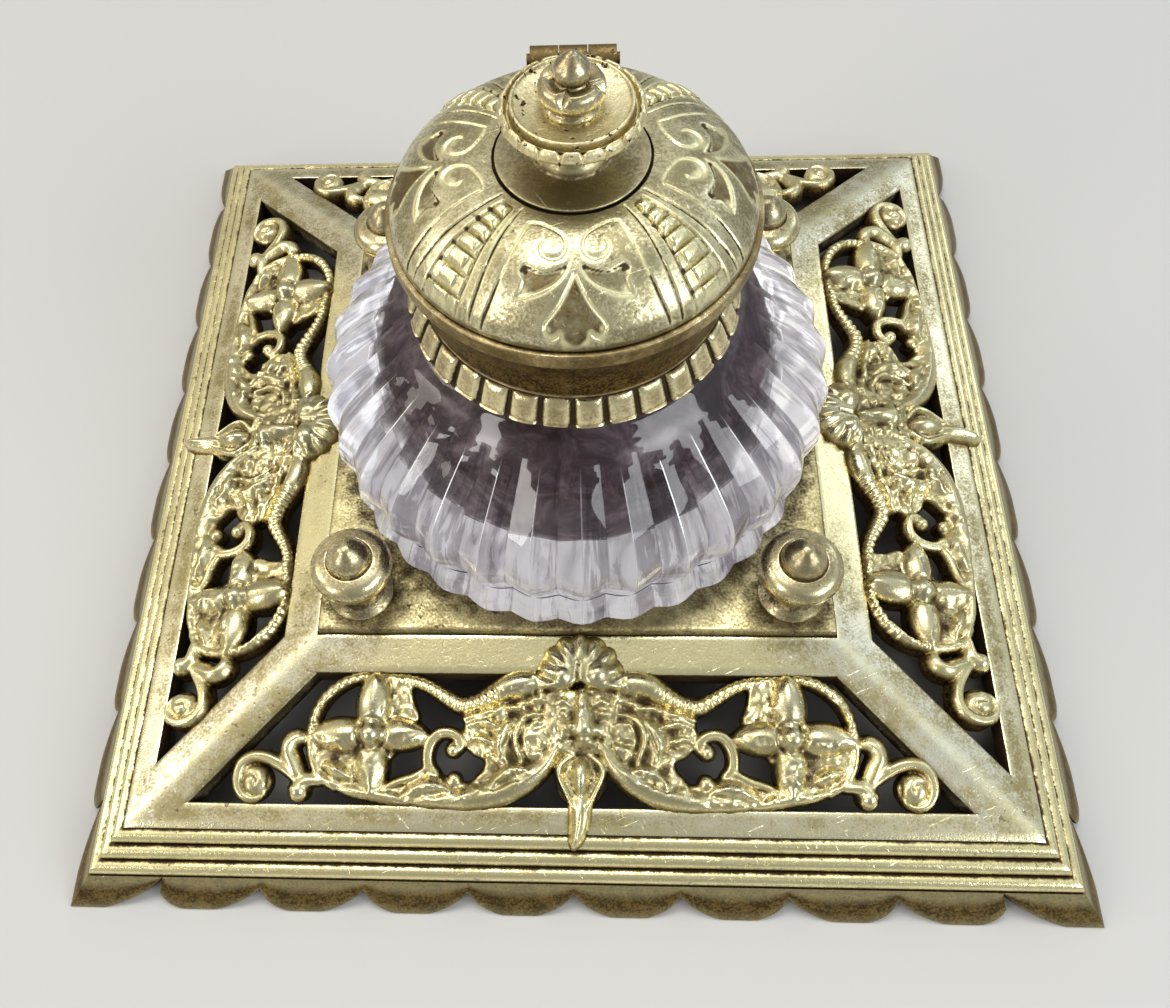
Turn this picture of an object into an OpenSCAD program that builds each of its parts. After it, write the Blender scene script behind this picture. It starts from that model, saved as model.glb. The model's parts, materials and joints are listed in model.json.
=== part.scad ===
// Desk inkstand: a square cast-brass stand with a scalloped skirt, a reeded edge and four pierced
// scroll panels, a tray plate bolted down by four turned knobs, and a cut-glass ink bottle with a
// cemented brass collar and a hinged, domed lid.
// Millimetres, +Z up, origin on the table under the middle of the stand, front towards -Y.

/* [Base frame] */
// Width and depth over the tips of the scalloped skirt
base_w = 152; // [144:0.5:162]
// How far the skirt flares out past the outer reed
skirt_out = 4; // [3:0.1:6]
// Height of the foot of the reeds above the table
skirt_h = 4.8; // [4:0.1:7]
// Wall of the skirt
skirt_t = 2.4; // [1.8:0.1:3]
// Scallops along one side of the skirt, corner ones left out
lobe_n = 8; // [6:1:10]
// Length of a corner scallop along a side
corner_w = 11.6; // [10:0.1:14]
// Depth of the notches between the scallops
notch_depth = 4.6; // [3:0.1:5.5]
// Width of the three reeds, seen from above
reed_run = 5.9; // [5:0.1:7]
// Drop from the flat band to the foot of the reeds
reed_drop = 5.2; // [4:0.1:6]
// Radius of each reed
reed_r = 1.25; // [0.9:0.05:1.35]
// Width of the flat outer band
band_w = 3.8; // [3:0.1:6]
// Width of the bar inside the windows
inner_bar_w = 5.8; // [5:0.1:8]
// Slope of the four sides
slope = 16; // [12:0.5:19]
// Width of the bars along the four hips
hip_w = 8.3; // [6:0.1:11]
// Upright thickness of the sloping sides
side_t = 3; // [2.4:0.1:3.6]

/* [Tray] */
// How far the tray's edge lies outside the bottle's belly
tray_margin = 0.1; // [0:0.1:2]
// Thickness of the tray plate
tray_t = 2.2; // [1.6:0.1:3]
// How far the tray plate stands above the bar around it
tray_step = 1.3; // [0.6:0.1:1.5]
// Width of the ledge that carries the tray plate
ledge_w = 11.5; // [10:0.5:14]
// Thickness of the ledge
ledge_t = 2.4; // [2:0.1:3]

/* [Knobs] */
// Space between a knob's disc and the bottle's belly
knob_gap = 1.34; // [0.6:0.02:1.6]
// Radius of a knob's disc
knob_r = 5.9; // [5:0.1:6]
// Height of the spool under the disc
spool_h = 6.8; // [5:0.1:9]
// Radius of the spool's foot
spool_foot_r = 5; // [4.2:0.1:5.4]
// Thickness of the spool's foot
spool_foot_h = 0.9; // [0.6:0.1:1.4]
// Radius of the spool's waist
spool_waist_r = 3.8; // [2.6:0.1:4]
// Thickness of the disc
disc_t = 4.8; // [4:0.1:6]
// Radius of the button on top
button_r = 2.7; // [2:0.1:3]
// Height of the button above the disc
button_h = 3.4; // [2:0.1:5]
// Depth of the groove around the button
groove_h = 0.6; // [0.3:0.1:0.9]
// Radius of the threaded shank
shank_r = 1.6; // [1.2:0.1:1.8]
// Width of a nut across its flats
nut_w = 5.5; // [5:0.1:6]
// Height of a nut
nut_h = 2.4; // [2:0.1:3]
// Thickness of a washer
washer_t = 0.6; // [0.4:0.1:1]

/* [Scroll panels] */
// Thickness of a panel
panel_t = 2.4; // [1.8:0.1:2.8]
// How far the scrolls stand above the bars
scroll_rise = 0.5; // [0.2:0.1:1]
// How far the flowers and leaves stand above the scrolls
flower_rise = 1; // [0.4:0.1:1.6]
// Radius of the shell
shell_r = 6.6; // [5:0.1:7]
// Thickness of the shell and of the pendant over the bars
shell_t = 1.8; // [1:0.1:2.4]

/* [Glass bottle] */
// How far the foot lies inside the belly
foot_inset = 0.8; // [0:0.1:3]
// Height of the bevelled foot
foot_h = 4.2; // [3:0.1:6]
// Inward slope of the bevelled foot
foot_bevel = 2.2; // [1:0.1:3]
// Largest radius of the body
belly_r = 38.3; // [37:0.1:38.6]
// Height of the largest radius above the tray
belly_h = 13; // [11:0.1:16]
// Height of the shoulder, where the collar sits, above the tray
shoulder_h = 30.8; // [28:0.1:34]
// Depth of the cut flutes
flute_depth = 1; // [0.5:0.1:1.4]
// Number of flutes
flute_n = 32; // [24:2:40]
// Outer radius of the neck
neck_r = 17.2; // [15:0.1:17.5]
// Wall of the neck
neck_wall = 3.4; // [2:0.1:4]
// Height of the neck above the shoulder
neck_h = 12; // [9:0.1:12.5]
// Thickness of the glass under the ink
bottle_floor = 6.5; // [4:0.1:8]
// Thickness of the glass between the ink and the shoulder
bottle_roof = 6; // [5:0.1:8]
// Rounding inside, at the foot of the ink's space
ink_round = 3; // [2:0.1:4]
// Radius of the space for the ink
ink_r = 26; // [20:0.5:29]

/* [Collar] */
// Wall of the collar at its throat, outside the cement
throat_wall = 2.7; // [2:0.1:3.2]
// How far the collar's lower edge stands out past the throat
collar_foot_out = 2.1; // [1.4:0.1:3]
// Height of the band of billets
billet_h = 4; // [3:0.1:5]
// Number of billets
billet_n = 32; // [24:2:40]
// Gap between two billets
billet_gap = 1.1; // [0.6:0.1:1.6]
// How far the lip flares out past the throat
lip_flare = 3.3; // [2.7:0.1:4.3]
// Height of the lip's top above the shoulder
collar_h = 16.9; // [15.5:0.1:19]
// Height of the lip's band
lip_h = 2.2; // [1.2:0.1:3]
// Wall of the collar at its lip
collar_t = 1.8; // [1.4:0.1:2.2]
// Thickness of the cement between the neck and the collar
cement_t = 0.8; // [0.5:0.1:1.2]

/* [Lid] */
// How far the lid's edge lies inside the lip
lid_inset = 0.7; // [0.4:0.1:1]
// Height of the dome's edge
lid_edge_h = 0.5; // [0.4:0.1:1]
// Height from the lid's edge to the seat of the finial
dome_h = 7.6; // [6:0.1:10]
// Radius of the seat of the finial
seat_r = 9.7; // [8:0.1:11]
// Thickness of the lid
lid_t = 1.2; // [0.9:0.1:1.5]
// Depth of the ring that centres the lid in the collar
guide_h = 1.8; // [1:0.1:2.5]

/* [Hinge] */
// Radius of the barrel
barrel_r = 1.8; // [1.6:0.1:2]
// Radius of the pin
pin_r = 0.8; // [0.6:0.05:0.9]
// Length of each of the three knuckles
knuckle_w = 4; // [3:0.1:5]
// Thickness of the two leaves
leaf_t = 1.2; // [0.8:0.1:1.4]

/* [Finial] */
// Height of the low cone on the seat
cone_h = 0.5; // [0.2:0.1:2]
// Radius of the finial's neck
finial_neck_r = 4.7; // [3.8:0.1:5.2]
// Height of the finial's neck
finial_neck_h = 4.7; // [3:0.1:6]
// Radius of the dish
dish_r = 8.8; // [7.5:0.1:10]
// Height of the dish
dish_h = 3.2; // [2.6:0.1:4]
// Number of nicks around the dish
nick_n = 20; // [14:2:26]
// Radius of the bud
bud_r = 3.8; // [3:0.1:4.4]
// Height of the bud above the dish
bud_h = 7.6; // [5:0.1:9]
// Radius of the threaded stud under the bud
stud_r = 1.5; // [1.2:0.1:1.8]

/* [Clearances] */
// Play around a part that drops into its seat
fit_gap = 0.15; // [0.1:0.01:0.25]
// Radial play of a pin or shank in its hole
pin_gap = 0.05; // [0.02:0.01:0.1]
// Space between the bottle and the lid, and around the hinge
move_gap = 0.35; // [0.3:0.01:0.45]

/* [Hidden] */
BRASS = "darkkhaki";
BRIGHT = "khaki";
DARK = "olive";
GLASS = [0.85, 0.83, 0.92, 0.5];
$fn = 96;

// ---- Section through one side: distance out from the middle, height above the table ----
half = base_w / 2;
tray_half = belly_r + tray_margin;
reed_out = half - skirt_out;
band_out = reed_out - reed_run;
window_out = band_out - band_w;
window_in = tray_half + inner_bar_w;
window_run = window_out - window_in;
band_z = skirt_h + reed_drop;
reed_sink = 0.6 * reed_r;
function slope_z(out) = band_z + (band_out - out) * tan(slope);
bar_z = slope_z(tray_half);
tray_top = bar_z + tray_step;
ledge_z = tray_top - tray_t;
ledge_in = tray_half - ledge_w;

// The reeds stand in a row on the line from the band's edge to the foot of the reeds.
reed_dir = [reed_run, -reed_drop] / norm([reed_run, reed_drop]);
reed_normal = [reed_drop, reed_run] / norm([reed_run, reed_drop]);
reed_pitch = norm([reed_run, reed_drop]) / 3;
function reed_at(i) = [band_out, band_z] + reed_dir * reed_pitch * (i + 0.5) - reed_normal * reed_sink;

// The skirt's wall, along its slope and across it.
skirt_dir = [skirt_out, -skirt_h] / norm([skirt_out, skirt_h]);
skirt_len = norm([skirt_out, skirt_h]);
lobe_pitch = (base_w - 2 * corner_w) / lobe_n;
lobe_r = (pow(lobe_pitch / 2, 2) + pow(notch_depth, 2)) / (2 * notch_depth);
// The scallops' arcs run this far past the skirt's edge, which trims them to flat feet.
foot_trim = 0.3;
FAR = 200;

// ---- Bottle, collar and lid heights ----
foot_r = belly_r - foot_inset;
collar_bore_r = neck_r + cement_t;
throat_r = collar_bore_r + throat_wall;
collar_r = throat_r + collar_foot_out;
lip_r = throat_r + lip_flare;
shoulder_z = tray_top + shoulder_h;
lip_z = shoulder_z + collar_h;
throat_z = shoulder_z + billet_h;
lid_r = lip_r - lid_inset;
lid_z = lip_z + fit_gap;
seat_z = lid_z + lid_edge_h + dome_h;
neck_top_z = shoulder_z + neck_h;
bore_r = neck_r - neck_wall;
lip_in = lip_r - collar_t;

// ---- Hinge, behind the lip ----
hinge_y = lip_r + barrel_r + move_gap;
hinge_z = lid_z + lid_edge_h;
knuckle_gap = 0.15;

// ---- Finial stack ----
neck_z = seat_z + cone_h;
dish_z = neck_z + finial_neck_h;
dish_depth = 1.2;
dish_floor_z = dish_z + dish_h - dish_depth;
bud_z = dish_floor_z;
finial_nut_h = 2;
stud_end = 0.8;
stud_low_z = seat_z - lid_t - finial_nut_h - stud_end;

knob_at = (belly_r + knob_gap + knob_r) / sqrt(2);
CORNERS = [[-1, -1], [1, -1], [1, 1], [-1, 1]];

// ---- Shared shapes ----

// One side's section drawn in the plane of distance out and height, run along the side.
module along_front(length) {
  rotate([90, 0, -90]) translate([0, 0, -length / 2]) linear_extrude(length) children();
}

// The upright space of one scroll window.
hip_cut = hip_w / sqrt(2);
module window_outline(inset = 0) {
  far_out = window_out - inset;
  far_in = window_in + inset;
  side = hip_cut + inset * sqrt(2);
  polygon([
    [-(far_out - side), -far_out], [far_out - side, -far_out],
    [far_in - side, -far_in], [-(far_in - side), -far_in]
  ]);
}

// A slab that follows the slope of the front side, between two heights over the bars' faces.
module slope_slab(low, high) {
  along_front(base_w) polygon([
    [ledge_in, slope_z(ledge_in) + low], [reed_out, slope_z(reed_out) + low],
    [reed_out, slope_z(reed_out) + high], [ledge_in, slope_z(ledge_in) + high]
  ]);
}

// A turned piece from its half section.
module turned(points) {
  rotate_extrude() polygon(points);
}

// Points of a smooth curve through the given ones.
function curve_point(a, b, c, d, t) =
  0.5 * (2 * b + (c - a) * t + (2 * a - 5 * b + 4 * c - d) * t * t + (3 * b - a - 3 * c + d) * t * t * t);
function curve(points, steps = 4) = let (last = len(points) - 1) concat(
  [for (i = [0:last - 1], k = [0:steps - 1])
    curve_point(points[max(i - 1, 0)], points[i], points[i + 1], points[min(i + 2, last)], k / steps)],
  [points[last]]);
// Outline of a ribbon along a curve, from one width to another.
function across(path, i) = let (
  a = path[max(i - 1, 0)],
  b = path[min(i + 1, len(path) - 1)],
  d = (b - a) / norm(b - a)) [-d.y, d.x];
function ribbon_side(path, w0, w1, side) =
  [for (i = [0:len(path) - 1]) path[i] + across(path, i) * side * (w0 + (w1 - w0) * i / (len(path) - 1)) / 2];
function reversed(list) = [for (i = [len(list) - 1:-1:0]) list[i]];
module ribbon(points, w0, w1) {
  path = curve(points);
  polygon(concat(ribbon_side(path, w0, w1, 1), reversed(ribbon_side(path, w0, w1, -1))));
}

// ---- Base frame ----

// The stand's outside and its hollow are hipped shapes: two equal long prisms crossed at right angles.
module hipped(section) {
  outline = concat(section, [for (p = reversed(section)) [-p.x, p.y]]);
  intersection() {
    rotate([90, 0, 90]) linear_extrude(FAR, center = true) polygon(outline);
    rotate([90, 0, 0]) linear_extrude(FAR, center = true) polygon(outline);
  }
}

skirt_normal = [skirt_h, skirt_out] / norm([skirt_out, skirt_h]);
// The reeds stand on a flat that lies this far under the skirt's top edge and the reeds' grooves.
groove_lap = 0.2;
groove_sink = reed_sink + groove_lap;

module outside() {
  hipped([
    [half, 0], [reed_out, skirt_h], [reed_out, skirt_h + groove_lap],
    [band_out, band_z] - reed_normal * groove_sink, [band_out, band_z], [tray_half, bar_z]
  ]);
  for (turn = [0:90:270], i = [0:2]) {
    c = reed_at(i);
    rotate(turn) translate([-c.x, -c.x, c.y]) {
      rotate([0, 90, 0]) cylinder(r = reed_r, h = 2 * c.x);
      sphere(r = reed_r, $fn = 48);
    }
  }
}

// How far the hollow's flat roof reaches past the tray.
hollow_lap = 1;

module hollow() {
  low = [half, 0] - skirt_normal * skirt_t;
  hipped([
    low + skirt_dir * 2, [reed_out, skirt_h] - skirt_normal * skirt_t, [band_out - side_t, band_z - side_t],
    [tray_half + hollow_lap, ledge_z - ledge_t]
  ]);
}

// What is cut away between the scallops of the front skirt, laid flat along the skirt's slope.
module notches_flat() {
  centre = skirt_len - lobe_r + foot_trim;
  first = -(lobe_n - 1) / 2 * lobe_pitch;
  end = lobe_n / 2 * lobe_pitch;
  // A corner scallop is rounder and reaches a little further out.
  corner_r = lobe_r * 1.15;
  difference() {
    translate([-half - 5, skirt_len + foot_trim - notch_depth]) square([base_w + 10, notch_depth + 1]);
    for (i = [0:lobe_n - 1]) translate([first + i * lobe_pitch, centre]) circle(r = lobe_r);
    for (s = [-1, 1]) {
      translate([s * (end + corner_r * 0.93), skirt_len + 2 * foot_trim - corner_r]) circle(r = corner_r);
    }
  }
}

module notches() {
  tilt = atan2(skirt_h, skirt_out);
  for (turn = [0:90:270]) rotate(turn) translate([0, -reed_out, skirt_h]) rotate([tilt, 0, 0])
    mirror([0, 1, 0]) translate([0, 0, -skirt_t - 2]) linear_extrude(skirt_t + 4) notches_flat();
}

module rim_frame() {
  color(BRASS) difference() {
    outside();
    hollow();
    notches();
    rebate = tray_half + fit_gap;
    translate([-rebate, -rebate, ledge_z]) cube([2 * rebate, 2 * rebate, FAR]);
    translate([-ledge_in, -ledge_in, 0]) cube([2 * ledge_in, 2 * ledge_in, FAR]);
    for (turn = [0:90:270]) rotate(turn) linear_extrude(FAR) window_outline();
    for (c = CORNERS) translate([c.x * knob_at, c.y * knob_at, 0]) cylinder(r = shank_r + fit_gap, h = FAR);
  }
}

// ---- Scroll panels: places are percent of the window's half length and of its width ----

function at(along, out) = [along / 100 * (window_out - hip_cut), -(window_in + out / 100 * window_run)];
unit = window_run / 18;

module half_scrolls() {
  // Arm from the shell, dipping and then rising into the ring around the flower
  ribbon([at(5, 9), at(16, 8), at(23, 12), at(30, 23), at(37, 17), at(45, 8), at(55, 5), at(64, 12),
    at(70, 31), at(72, 54), at(70, 73), at(64, 92)], 3.4 * unit, 1.5 * unit);
  // Leaf and stem along the outer edge, ending in a ball
  ribbon([at(3, 46), at(9, 68), at(17, 87), at(28, 96), at(44, 98), at(57, 94), at(67, 86), at(74, 87)],
    3.4 * unit, 1.5 * unit);
  translate(at(74, 89)) circle(r = 1.9 * unit);
  // Curled scroll between the middle and the flower
  ribbon([at(33.5, 52), at(35, 41), at(39, 39), at(42.5, 50), at(43, 66), at(41, 82), at(38, 96)],
    1.2 * unit, 2 * unit);
  translate(at(35, 53)) circle(r = 1.4 * unit);
  // Hook and end volute beyond the flower
  ribbon([at(68, 84), at(77, 73), at(80, 56), at(77, 45), at(73, 52)], 1.8 * unit, 1.3 * unit);
  ribbon([at(68, 88), at(78, 70), at(86, 64), at(90, 78)], 1.8 * unit, 1.6 * unit);
  translate(at(85.5, 86)) circle(r = 2.7 * unit);
  // Foliage beside the middle
  polygon([at(0, 12), at(14, 16), at(28, 25), at(33, 42), at(24, 54), at(27, 78), at(14, 80), at(0, 60)]);
  // Leaf inside the ring
  ribbon([at(60, 55), at(65, 72), at(66, 90)], 2 * unit, 5 * unit);
}

// One petal, pointing from the flower's middle.
module petal(from, to, fat) {
  middle = (from + to) / 2;
  ribbon([from, middle], 0.4 * fat, fat);
  ribbon([middle, to], fat, 0.4 * fat);
}

module half_flower() {
  heart = at(55, 43);
  petal(heart, at(55, 6), 5 * unit);
  petal(heart, at(43, 43), 4.6 * unit);
  petal(heart, at(69, 45), 4.4 * unit);
  petal(heart, at(56, 90), 4.8 * unit);
}

module both_halves() {
  children();
  mirror([1, 0, 0]) children();
}

module pendant() {
  tip = [0, -(band_out + 0.7 * reed_pitch)];
  polygon([at(-7.5, 70), at(0, 56), at(7.5, 70), at(2.8, 98), tip + [0.8, 0], tip - [0.8, 0], at(-2.8, 98)]);
}

module shell_outline() {
  intersection() {
    translate(at(0, 6)) circle(r = shell_r);
    translate([-FAR / 2, -(window_in + 0.16 * window_run)]) square([FAR, FAR]);
  }
}

// The front panel; the others are turned copies of it.
module scroll_panel() {
  boss = at(55, 43);
  intersection() {
    linear_extrude(FAR) intersection() {
      union() {
        both_halves() half_scrolls();
        both_halves() half_flower();
        pendant();
      }
      window_outline();
    }
    slope_slab(scroll_rise - panel_t, scroll_rise);
  }
  intersection() {
    linear_extrude(FAR) intersection() {
      both_halves() half_flower();
      window_outline(move_gap);
    }
    slope_slab(-1, scroll_rise + flower_rise);
  }
  both_halves() translate([boss.x, boss.y, slope_z(-boss.y) + scroll_rise + flower_rise])
    sphere(r = 2 * unit, $fn = 32);
  intersection() {
    linear_extrude(FAR) {
      shell_outline();
      pendant();
    }
    slope_slab(0, shell_t);
  }
}

module scroll_panel_front() {
  color(BRIGHT) scroll_panel();
}
module scroll_panel_right() {
  color(BRIGHT) rotate(90) scroll_panel();
}
module scroll_panel_back() {
  color(BRIGHT) rotate(180) scroll_panel();
}
module scroll_panel_left() {
  color(BRIGHT) rotate(270) scroll_panel();
}

// ---- Tray plate and its knobs ----

module tray_plate() {
  color(DARK) difference() {
    translate([-tray_half, -tray_half, ledge_z]) cube([2 * tray_half, 2 * tray_half, tray_t]);
    for (c = CORNERS) translate([c.x * knob_at, c.y * knob_at, 0]) cylinder(r = shank_r + fit_gap, h = FAR);
  }
}

washer_rim = 0.7;
shank_end = 0.6;
knob_low_z = ledge_z - ledge_t - washer_t - nut_h - shank_end;

module knob(corner) {
  disc_z = tray_top + spool_h;
  round_r = disc_t / 2;
  translate([corner.x * knob_at, corner.y * knob_at, 0]) {
    difference() {
      union() {
        turned([
          [0, tray_top], [spool_foot_r, tray_top], [spool_foot_r, tray_top + spool_foot_h],
          [spool_waist_r, tray_top + spool_h * 0.45], [spool_waist_r, tray_top + spool_h * 0.7],
          [knob_r - round_r, disc_z], [knob_r - round_r, disc_z + disc_t], [0, disc_z + disc_t]
        ]);
        translate([0, 0, disc_z + round_r]) rotate_extrude()
          translate([knob_r - round_r, 0]) circle(r = round_r);
      }
      translate([0, 0, disc_z + disc_t - groove_h]) cylinder(r = knob_r - round_r, h = 2 * groove_h);
    }
    turned([
      [0, disc_z + round_r], [button_r, disc_z + round_r], [button_r, disc_z + disc_t + button_h * 0.25],
      [button_r * 0.8, disc_z + disc_t + button_h * 0.65], [button_r * 0.4, disc_z + disc_t + button_h * 0.9],
      [0, disc_z + disc_t + button_h]
    ]);
    translate([0, 0, knob_low_z]) cylinder(r = shank_r, h = tray_top + spool_foot_h - knob_low_z);
  }
}

module knob_front_left() {
  color(BRASS) knob(CORNERS[0]);
}
module knob_front_right() {
  color(BRASS) knob(CORNERS[1]);
}
module knob_back_right() {
  color(BRASS) knob(CORNERS[2]);
}
module knob_back_left() {
  color(BRASS) knob(CORNERS[3]);
}

module knob_washers() {
  color(BRASS) for (c = CORNERS)
    translate([c.x * knob_at, c.y * knob_at, ledge_z - ledge_t - washer_t]) difference() {
      cylinder(r = nut_w / 2 + washer_rim, h = washer_t);
      translate([0, 0, -1]) cylinder(r = shank_r + fit_gap, h = washer_t + 2);
    }
}

module hex_nut(flats, height, bore) {
  difference() {
    cylinder(r = flats / sqrt(3), h = height, $fn = 6);
    translate([0, 0, -1]) cylinder(r = bore, h = height + 2);
  }
}

module knob_nuts() {
  color(DARK) for (c = CORNERS)
    translate([c.x * knob_at, c.y * knob_at, ledge_z - ledge_t - washer_t - nut_h])
      hex_nut(nut_w, nut_h, shank_r + pin_gap);
}

// ---- Glass bottle ----

// Rings of the outside: radius of the ridges, height above the tray, depth of the flutes as a share.
upper_h = shoulder_h - belly_h;
upper_r = belly_r - collar_r;
GLASS_RINGS = [
  [foot_r, 0, 0.9],
  [foot_r - foot_bevel, foot_h, 0.7],
  [(foot_r - foot_bevel + belly_r) / 2 + 0.01 * belly_r, (foot_h + belly_h) / 2, 1],
  [belly_r * 0.992, belly_h * 0.815, 1],
  [belly_r, belly_h, 1],
  [belly_r - upper_r * 0.03, belly_h + upper_h * 0.16, 1],
  [belly_r - upper_r * 0.13, belly_h + upper_h * 0.33, 1],
  [belly_r - upper_r * 0.32, belly_h + upper_h * 0.52, 1],
  [belly_r - upper_r * 0.55, belly_h + upper_h * 0.69, 0.7],
  [belly_r - upper_r * 0.76, belly_h + upper_h * 0.83, 0.2],
  [belly_r - upper_r * 0.9, belly_h + upper_h * 0.93, 0],
  [collar_r, shoulder_h, 0]
];
// One ridge stands this many degrees to the right of the front's middle.
flute_turn = 2;
function ring_points(ring) = [for (k = [0:2 * flute_n - 1])
  let (r = ring[0] - (k % 2) * flute_depth * ring[2], a = k * 180 / flute_n - 90 + flute_turn)
  [r * cos(a), r * sin(a), tray_top + ring[1]]];

module cut_body() {
  n = 2 * flute_n;
  rings = len(GLASS_RINGS);
  points = [for (ring = GLASS_RINGS) each ring_points(ring)];
  sides = [for (i = [0:rings - 2], k = [0:n - 1])
    let (a = i * n + k, b = i * n + (k + 1) % n) each [[a, a + n, b + n], [a, b + n, b]]];
  bottom = [[for (k = [0:n - 1]) k]];
  top = [[for (k = [n - 1:-1:0]) (rings - 1) * n + k]];
  polyhedron(points, concat(sides, bottom, top));
}

module ink_bottle() {
  ink_low = tray_top + bottle_floor;
  ink_top = shoulder_z - bottle_roof;
  color(GLASS) difference() {
    union() {
      cut_body();
      translate([0, 0, shoulder_z - 1]) cylinder(r = neck_r, h = neck_h + 1);
    }
    turned([
      [0, ink_low], [ink_r - ink_round, ink_low], [ink_r, ink_low + ink_round],
      [ink_r, ink_top - 0.9 * bottle_roof], [ink_r - 0.7 * bottle_roof, ink_top - 0.2 * bottle_roof],
      [bore_r, ink_top + 0.5 * bottle_roof], [bore_r, neck_top_z + 1], [0, neck_top_z + 1]
    ]);
  }
}

module cement_ring() {
  color("gainsboro") translate([0, 0, shoulder_z]) difference() {
    cylinder(r = collar_bore_r, h = neck_h - 1);
    translate([0, 0, -1]) cylinder(r = neck_r, h = neck_h + 1);
  }
}

// ---- Collar ----

// Plain bead under the billets, the steps over them and under the lip, and the floor of their gaps.
bead_h = 0.4;
throat_step = 0.3;
lip_step = 0.5;
groove_in = 0.1;

module neck_collar() {
  color(BRASS) difference() {
    turned([
      [collar_bore_r, shoulder_z], [collar_r, shoulder_z], [collar_r, shoulder_z + bead_h],
      [throat_r + throat_step, throat_z], [throat_r, throat_z],
      [lip_r - lip_step, lip_z - lip_h], [lip_r, lip_z - lip_h],
      [lip_r, lip_z], [lip_in, lip_z], [lip_in, lip_z - guide_h - move_gap], [collar_bore_r, neck_top_z]
    ]);
    for (i = [0:billet_n - 1]) rotate((i + 0.5) * 360 / billet_n)
      translate([throat_r + groove_in, -billet_gap / 2, shoulder_z + bead_h + groove_in])
        cube([2 * collar_foot_out, billet_gap, billet_h - bead_h - 3 * groove_in]);
  }
}

// ---- Lid ----

// Half section of the dome's outside, from the edge up to the finial's seat.
DOME = [[0, 0], [0.06, 0.26], [0.2, 0.52], [0.36, 0.74], [0.56, 0.9], [0.78, 0.98], [1, 1]];
function dome_at(share, drop) = [
  lid_r - (lid_r - seat_r) * share[0] - drop * (1 - share[0]),
  lid_z + lid_edge_h + dome_h * share[1] - drop * share[1]
];
guide_r = lip_in - move_gap;
edge_lap = 0.2;

module lid() {
  outside = [for (share = DOME) dome_at(share, 0)];
  inside = reversed([for (share = DOME) dome_at(share, lid_t)]);
  color(BRASS) difference() {
    union() {
      turned(concat([[lid_r - lid_t, lid_z], [lid_r, lid_z]], outside,
        [[0, seat_z], [0, seat_z - lid_t]], inside));
      turned([
        [guide_r - lid_t, lid_z - guide_h], [guide_r, lid_z - guide_h], [guide_r, lid_z],
        [lid_r - edge_lap, lid_z], [lid_r - edge_lap, lid_z + lid_edge_h],
        [guide_r - lid_t, lid_z + 2 * lid_edge_h]
      ]);
    }
    translate([0, 0, seat_z - 5]) cylinder(r = stud_r + fit_gap, h = 10);
  }
}

// ---- Hinge ----

module barrel(offset_x) {
  translate([offset_x - knuckle_w / 2 + knuckle_gap / 2, hinge_y, hinge_z]) rotate([0, 90, 0])
    cylinder(r = barrel_r, h = knuckle_w - knuckle_gap);
}
module pin_hole() {
  translate([-2 * knuckle_w, hinge_y, hinge_z]) rotate([0, 90, 0])
    cylinder(r = pin_r + pin_gap, h = 4 * knuckle_w);
}

// Two outer knuckles on feet that are brazed to the lip's band.
module hinge_leaf_collar() {
  foot_z = lip_z - lip_h;
  color(BRASS) difference() {
    for (s = [-1, 1]) {
      barrel(s * knuckle_w);
      translate([s * knuckle_w - knuckle_w / 2 + knuckle_gap / 2, lip_r - 1, foot_z])
        cube([knuckle_w - knuckle_gap, barrel_r + move_gap + 1, hinge_z - foot_z - barrel_r / 2]);
    }
    translate([0, 0, foot_z - 1]) cylinder(r = lip_r, h = lip_h + 1);
    translate([0, 0, lip_z - 0.01]) cylinder(r = lip_r + move_gap / 2, h = 9);
    pin_hole();
  }
}

// The middle knuckle on a leaf that is brazed to the dome.
module hinge_leaf_lid() {
  color(BRASS) difference() {
    union() {
      barrel(0);
      translate([-knuckle_w / 2 + knuckle_gap / 2, lid_r - 2, hinge_z])
        cube([knuckle_w - knuckle_gap, hinge_y - lid_r + 2, leaf_t]);
    }
    pin_hole();
    turned(concat([[0, lid_z], [lid_r, lid_z]], [for (share = DOME) dome_at(share, 0)], [[0, seat_z]]));
  }
}

// How far the pin stands out of the outer knuckles.
pin_head = 0.4;

module hinge_pin() {
  length = 3 * knuckle_w + 2 * pin_head;
  color(DARK) translate([-length / 2, hinge_y, hinge_z]) rotate([0, 90, 0]) cylinder(r = pin_r, h = length);
}

// ---- Finial ----

// Width of the groove between the dome's top edge and the seat.
seat_groove = 0.4;

module finial_seat() {
  color(BRASS) difference() {
    turned([
      [0, seat_z], [seat_r - seat_groove, seat_z], [seat_r - seat_groove, seat_z + 0.6 * cone_h],
      [finial_neck_r, neck_z], [finial_neck_r, neck_z + 0.2 * finial_neck_h],
      [0.7 * finial_neck_r, neck_z + 0.5 * finial_neck_h], [0.74 * finial_neck_r, dish_z], [0, dish_z]
    ]);
    translate([0, 0, seat_z - 1]) cylinder(r = stud_r + fit_gap, h = 20);
  }
}

// Width of the nicked band around the dish, and of the nicks.
dish_band = 1.8;
nick_w = 0.6;

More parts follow.
